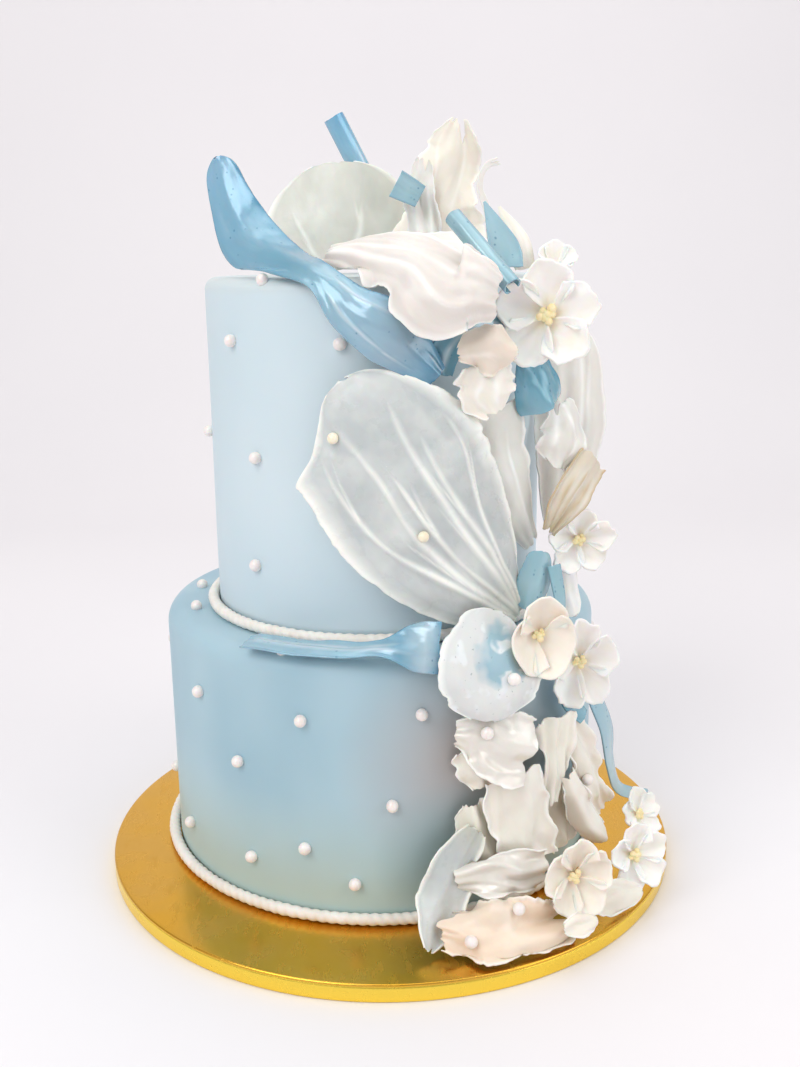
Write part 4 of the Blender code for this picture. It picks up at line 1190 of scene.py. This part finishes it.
def fan_pieces():
    """The great veined petal over the top tier, and the flowers down its right side."""
    sheet("great_petal", "white sugar", [
        (62, -59, 147, 7, 40, 10),
        (48, -76, 168, 27, 30, 5),
        (31, -87, 189, 38, 20, 0),
        (16, -93, 208, 43, 12, 0),
        (4, -94, 227, 43, 6, 0),
        (-7, -92, 245, 38, 0, 0),
        (-19, -86, 262, 30, -6, 5),
    ], round_end=0.36, curl=32, pleat=(1.2, 5), lobe=(0.78, -1, 0.22, 0.06),
        pearls=[(0.43, -0.2), (0.86, -0.55)])
    sheet("shell_crumple", "cream sugar", [
        (80, -58, 247, 7, 30, 5),
        (84, -58, 237, 13, 28, 0),
        (84, -59, 226, 13, 30, 0),
        (81, -60, 216, 6, 32, 0),
    ], curl=35, ruffle=(2, 2), pleat=(1.5, 3), jag=(0.25, 7))
    sheet("tan_pleats", "cream sugar", [
        (74, -58, 187, 4, 30, 0),
        (84, -55, 203, 10, 30, 0),
        (97, -47, 221, 9, 30, 0),
    ], pleat=(1.6, 4))
    sheet("side_cup", "flower paste", [
        (87, -46, 173, 6, 35, 0),
        (90, -47, 155, 9, 30, 5),
        (92, -48, 141, 8, 30, 0),
    ], round_start=0.3, round_end=0.3, curl=60)
    sheet("blue_leaf", "blue sugar", [
        (73, -60, 178, 7, 32, 5),
        (70, -63, 163, 10, 28, 0),
        (67, -64, 150, 7, 26, 0),
    ], round_start=0.15, round_end=0.2, curl=40)
    sheet("blue_strip", "blue sugar", [
        (79, -60, 171, 4, 35, 0),
        (82, -62, 154, 3.5, 35, 0),
        (82, -63, 141, 2, 35, 0),
    ], curl=25)
    flower("side_flower", (93, -46, 180), 16, 8, 0, notch=0.42)


def ledge_pieces():
    """The ribbon, disc and orchids where the tiers meet."""
    sheet("ledge_ribbon", "blue sugar", [
        (-64, -79, 140, 8, 0, 85),
        (-42, -90, 141, 9, 0, 85),
        (-20, -99, 142, 7, 0, 80),
        (-3, -104, 144, 5, 10, 60),
        (12, -106, 145, 11, 15, 30),
        (24, -106, 144, 12, 20, 15),
    ], curl=25)
    sheet("translucent_disc", "white sugar", [
        (53, -86, 156, 12, 25, 20),
        (50, -99, 148, 22, 22, 20),
        (48, -107, 137, 26, 20, 5),
        (48, -109, 124, 24, 18, -5),
        (47, -107, 112, 15, 18, -8),
    ], round_end=0.2, round_start=0.15, curl=30, pearls=[(0.6, -0.32)])
    flower("cream_orchid", (68, -93, 148.5), 15, 12, 0, "blush paste",
           petals=3, notch=0.25, cup=0.6, stretch=1.35)
    flower("ledge_flower", (91, -68, 126), 17, 10, 0, notch=0.4, stretch=1.3)
    sheet("dark_ribbon", "blue sugar", [
        (84, -70, 117, 3, 40, 0),
        (87, -70, 107, 5, 45, 0),
        (96, -62, 94, 4, 50, 0),
    ], curl=30)
    sheet("falling_ribbon", "blue sugar", [
        (100, -56, 106, 5, 55, 0),
        (110, -47, 82, 5.5, 50, 0),
        (114, -39, 59, 4, 55, 0),
        (122, -26, 38, 3.5, 30, 30),
        (140, -14, 28, 3, 10, 30),
    ], curl=20)


def lower_pieces():
    """The folded and torn sheets that run down the bottom tier's front."""
    sheet("left_chip", "white sugar", [
        (38, -99, 98, 8, 12, 0),
        (42, -101, 88, 12, 15, 0),
        (45, -100, 77, 7, 18, 0),
    ], curl=25, ruffle=(1.5, 2), jag=(0.2, 3))
    sheet("torn_sheet", "cream sugar", [
        (41, -99, 70, 8, 15, 5),
        (43, -101, 58, 13, 18, 5),
        (46, -104, 46, 16, 20, 8),
        (49, -107, 36, 16, 20, 10),
    ], curl=30, ruffle=(1.5, 2), jag=(0.25, 7))
    sheet("hollow_sheet", "cream sugar", [
        (80, -74, 64, 9, 35, 0),
        (84, -72, 47, 12, 38, 0),
        (87, -72, 31, 10, 40, 0),
    ], curl=30, jag=(0.1, 8))
    sheet("side_strip", "white sugar", [
        (86, -68, 97, 9, 38, 0),
        (91, -66, 83, 11, 38, 0),
        (97, -61, 67, 12, 42, 0),
        (103, -54, 50, 10, 46, 0),
        (109, -46, 36, 6, 50, 0),
    ], curl=35, ruffle=(1, 1.5), jag=(0.15, 4), pearls=[(0.5, 0.5)])
    sheet("middle_strip", "cream sugar", [
        (80, -84, 104, 13, 35, 10),
        (80, -85, 90, 11, 35, 0),
        (79, -85, 75, 9, 35, 0),
        (77, -86, 60, 6, 35, 0),
    ], curl=38, pleat=(1, 2), jag=(0.15, 6))
    sheet("long_sheet", "white sugar", [
        (57, -100, 84, 15, 24, 0),
        (60, -101, 68, 17, 24, 3),
        (64, -101, 52, 16, 26, 5),
        (68, -102, 38, 14, 28, 8),
    ], curl=26, pleat=(0.8, 2), jag=(0.12, 8))
    sheet("folded_sheet", "cream sugar", [
        (30, -106, 105, 6, 8, 8),
        (38, -110, 105, 11, 14, 12),
        (47, -111, 102, 16, 20, 14),
        (57, -109, 98, 18, 27, 12),
        (67, -103, 94, 18, 34, 8),
    ], curl=38, pleat=(1, 3), jag=(0.15, 9), pearls=[(0.4, -0.3)])
    sheet("rolled_sheet", "white sugar", [
        (84, -80, 74, 6, 32, 5),
        (90, -79, 61, 9, 35, 5),
        (97, -74, 46, 10, 38, 8),
        (105, -66, 34, 7, 40, 10),
    ], curl=70, jag=(0.12, 3))
    sheet("pointed_sail", "cream sugar", [
        (40, -103, 60, 5, 10, 0),
        (31, -106, 45, 10, 8, 3),
        (25, -110, 31, 12, 5, 5),
        (21, -116, 20, 10, 5, 8),
        (17, -126, 12, 2, 5, 10),
    ], curl=25, jag=(0.1, 2))


def foot_pieces():
    """The sheets and flowers that rest on the drum."""
    sheet("base_sheet", "cream sugar", [
        (21, -125, 19, 8, 0, 40),
        (34, -130, 21, 13, 3, 40),
        (47, -132, 22, 16, 8, 40),
        (60, -130, 21, 16, 14, 40),
        (73, -123, 19, 13, 22, 40),
        (86, -112, 16, 8, 32, 40),
    ], curl=40, ruffle=(2.5, 3), jag=(0.18, 5), pearls=[(0.22, 0.3), (0.59, -0.6)])
    sheet("pearly_bag", "white sugar", [
        (30, -115, 37, 6, 8, 10),
        (44, -117, 39, 9, 14, 12),
        (59, -115, 41, 11, 22, 12),
        (73, -107, 39, 10, 30, 10),
    ], curl=50, pleat=(1, 3))
    flower("foot_orchid", (84, -110, 38), 17, 15, 5, "blush paste",
           petals=5, notch=0.3, cup=0.5, stretch=1.15)
    flower("foot_flower", (118, -76, 28), 17, 25, 15, notch=0.42)
    flower("back_flower", (128, -40, 30), 14, 40, 25, notch=0.35, cup=0.3)
    sheet("low_petal", "flower paste", [
        (93, -110, 21, 4, 20, 30),
        (107, -100, 19, 9, 25, 35),
        (121, -88, 15, 4, 30, 35),
    ], round_start=0.2, round_end=0.2, curl=40)
    sheet("front_petal", "flower paste", [
        (76, -126, 19, 3, 10, 30),
        (84, -121, 18, 6, 15, 35),
        (93, -114, 16, 3, 25, 35),
    ], round_start=0.2, round_end=0.2, curl=40)


def make_stage():
    """A white sweep of paper under and behind the cake, four soft lights and the photograph's camera."""
    def build(tree, shader):
        tint = blend_colours(tree, speckle(tree, 0.4, detail=1), "#f0edee", "#ebe8ea")
        feed(tree, shader, base_color=tint, roughness=0.85)

    def rule(share, side):
        run = SWEEP_FRONT + (SWEEP_LENGTH - SWEEP_FRONT) * (0.5 + 0.5 * side)
        x = SWEEP_WIDTH * (share - 0.5)
        bend = run - SWEEP_BACK
        turn = SWEEP_CURVE * math.pi / 2
        if bend < 0:
            return (Vector((x, run, 0)),)
        if bend < turn:
            angle = bend / SWEEP_CURVE
            behind = SWEEP_BACK + SWEEP_CURVE * math.sin(angle)
            return (Vector((x, behind, SWEEP_CURVE * (1 - math.cos(angle)))),)
        return (Vector((x, SWEEP_BACK + SWEEP_CURVE, SWEEP_CURVE + bend - turn)),)

    bm = bmesh.new()
    add_grid(bm, (4, 120), rule)
    paper = piece_from(bm, "paper_sweep")
    paper.data.materials.append(finish("matt white paper", build))

    for name, place, target, size, power in LIGHTS:
        lamp = bpy.data.lights.new(name, "AREA")
        lamp.shape = "RECTANGLE"
        lamp.size = size[0]
        lamp.size_y = size[1]
        lamp.energy = power
        holder = bpy.data.objects.new(name, lamp)
        holder.location = place
        aim = Vector(target) - Vector(place)
        holder.rotation_euler = aim.to_track_quat("-Z", "Y").to_euler()
        bpy.context.scene.collection.objects.link(holder)

    world = bpy.data.worlds.new("pale room")
    world.use_nodes = True
    glow = world.node_tree.nodes["Background"]
    glow.inputs["Color"].default_value = shade("#f3f2f4")
    glow.inputs["Strength"].default_value = ROOM_GLOW
    bpy.context.scene.world = world
    bpy.context.scene.view_settings.view_transform = "Standard"

    lens = bpy.data.cameras.new("photograph")
    lens.lens = CAMERA_LENS
    lens.sensor_width = CAMERA_SENSOR
    camera = bpy.data.objects.new("photograph", lens)
    ahead = Vector((0, math.cos(CAMERA_DROP), -math.sin(CAMERA_DROP)))
    level_up = Vector((0, math.sin(CAMERA_DROP), math.cos(CAMERA_DROP)))
    level_right = Vector((1, 0, 0))
    right = level_right * math.cos(CAMERA_ROLL) + level_up * math.sin(CAMERA_ROLL)
    up = level_up * math.cos(CAMERA_ROLL) - level_right * math.sin(CAMERA_ROLL)
    turn = Matrix((right, up, -ahead)).transposed()
    camera.matrix_world = Matrix.Translation(CAMERA_PLACE) @ turn.to_4x4()
    bpy.context.scene.collection.objects.link(camera)
    bpy.context.scene.camera = camera


class CAKE_OT_board(bpy.types.Operator):
    """Turn the foil-covered drum."""

    bl_idname = "cake.board"
    bl_label = "Drum"
    bl_options = {"REGISTER", "UNDO"}

    def execute(self, context):
        make_board()
        return {"FINISHED"}


class CAKE_OT_tiers(bpy.types.Operator):
    """Turn the two iced tiers."""

    bl_idname = "cake.tiers"
    bl_label = "Tiers"
    bl_options = {"REGISTER", "UNDO"}

    def execute(self, context):
        make_tiers()
        return {"FINISHED"}


class CAKE_OT_borders(bpy.types.Operator):
    """Pipe the rope borders."""

    bl_idname = "cake.borders"
    bl_label = "Borders"
    bl_options = {"REGISTER", "UNDO"}

    def execute(self, context):
        make_borders()
        return {"FINISHED"}


class CAKE_OT_pearls(bpy.types.Operator):
    """Press in the sugar pearls."""

    bl_idname = "cake.pearls"
    bl_label = "Pearls"
    bl_options = {"REGISTER", "UNDO"}

    def execute(self, context):
        make_pearls()
        return {"FINISHED"}


class CAKE_OT_shoulder(bpy.types.Operator):
    """Set the sheets and blooms at the shoulder."""

    bl_idname = "cake.shoulder"
    bl_label = "Shoulder pieces"
    bl_options = {"REGISTER", "UNDO"}

    def execute(self, context):
        shoulder_pieces()
        return {"FINISHED"}


class CAKE_OT_crown(bpy.types.Operator):
    """Stand the sheets and straws on the top tier."""

    bl_idname = "cake.crown"
    bl_label = "Crown pieces"
    bl_options = {"REGISTER", "UNDO"}

    def execute(self, context):
        crown_pieces()
        return {"FINISHED"}


class CAKE_OT_fan(bpy.types.Operator):
    """Lean the great petal and its flower on the top tier."""

    bl_idname = "cake.fan"
    bl_label = "Great petal"
    bl_options = {"REGISTER", "UNDO"}

    def execute(self, context):
        fan_pieces()
        return {"FINISHED"}


class CAKE_OT_ledge(bpy.types.Operator):
    """Lay the ribbon, disc and orchids on the ledge."""

    bl_idname = "cake.ledge"
    bl_label = "Ledge pieces"
    bl_options = {"REGISTER", "UNDO"}

    def execute(self, context):
        ledge_pieces()
        return {"FINISHED"}


class CAKE_OT_lower(bpy.types.Operator):
    """Hang the folded and torn sheets."""

    bl_idname = "cake.lower"
    bl_label = "Lower sheets"
    bl_options = {"REGISTER", "UNDO"}

    def execute(self, context):
        lower_pieces()
        return {"FINISHED"}


class CAKE_OT_foot(bpy.types.Operator):
    """Rest the sheets and flowers on the drum."""

    bl_idname = "cake.foot"
    bl_label = "Foot pieces"
    bl_options = {"REGISTER", "UNDO"}

    def execute(self, context):
        foot_pieces()
        return {"FINISHED"}


class CAKE_OT_stage(bpy.types.Operator):
    """Set up the paper, the lights and the camera."""

    bl_idname = "cake.stage"
    bl_label = "Stage"
    bl_options = {"REGISTER", "UNDO"}

    def execute(self, context):
        make_stage()
        return {"FINISHED"}


STEPS = [
    CAKE_OT_board, CAKE_OT_tiers, CAKE_OT_borders, CAKE_OT_pearls, CAKE_OT_shoulder, CAKE_OT_crown,
    CAKE_OT_fan, CAKE_OT_ledge, CAKE_OT_lower, CAKE_OT_foot, CAKE_OT_stage,
]


class VIEW3D_PT_cake(bpy.types.Panel):
    """The cake's sizes, colours and steps."""

    bl_label = "Wedding Cake"
    bl_idname = "VIEW3D_PT_cake"
    bl_space_type = "VIEW_3D"
    bl_region_type = "UI"
    bl_category = "Cake"

    def draw(self, context):
        for group in (context.scene.cake_sizes, context.scene.cake_colours):
            for name in group.__annotations__:
                self.layout.prop(group, name)
        for step in STEPS:
            self.layout.operator(step.bl_idname)


CLASSES = [CakeSizes, CakeColours, *STEPS, VIEW3D_PT_cake]


def register():
    """Registers the cake's properties, operators and panel."""
    for each in CLASSES:
        bpy.utils.register_class(each)
    bpy.types.Scene.cake_sizes = bpy.props.PointerProperty(type=CakeSizes)
    bpy.types.Scene.cake_colours = bpy.props.PointerProperty(type=CakeColours)


def unregister():
    """Takes the cake's properties, operators and panel away."""
    del bpy.types.Scene.cake_colours
    del bpy.types.Scene.cake_sizes
    for each in reversed(CLASSES):
        bpy.utils.unregister_class(each)


def main():
    """Makes every piece."""
    register()
    for step in STEPS:
        getattr(bpy.ops.cake, step.bl_idname.split(".")[1])()
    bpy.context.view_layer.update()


if __name__ == "__main__":
    main()
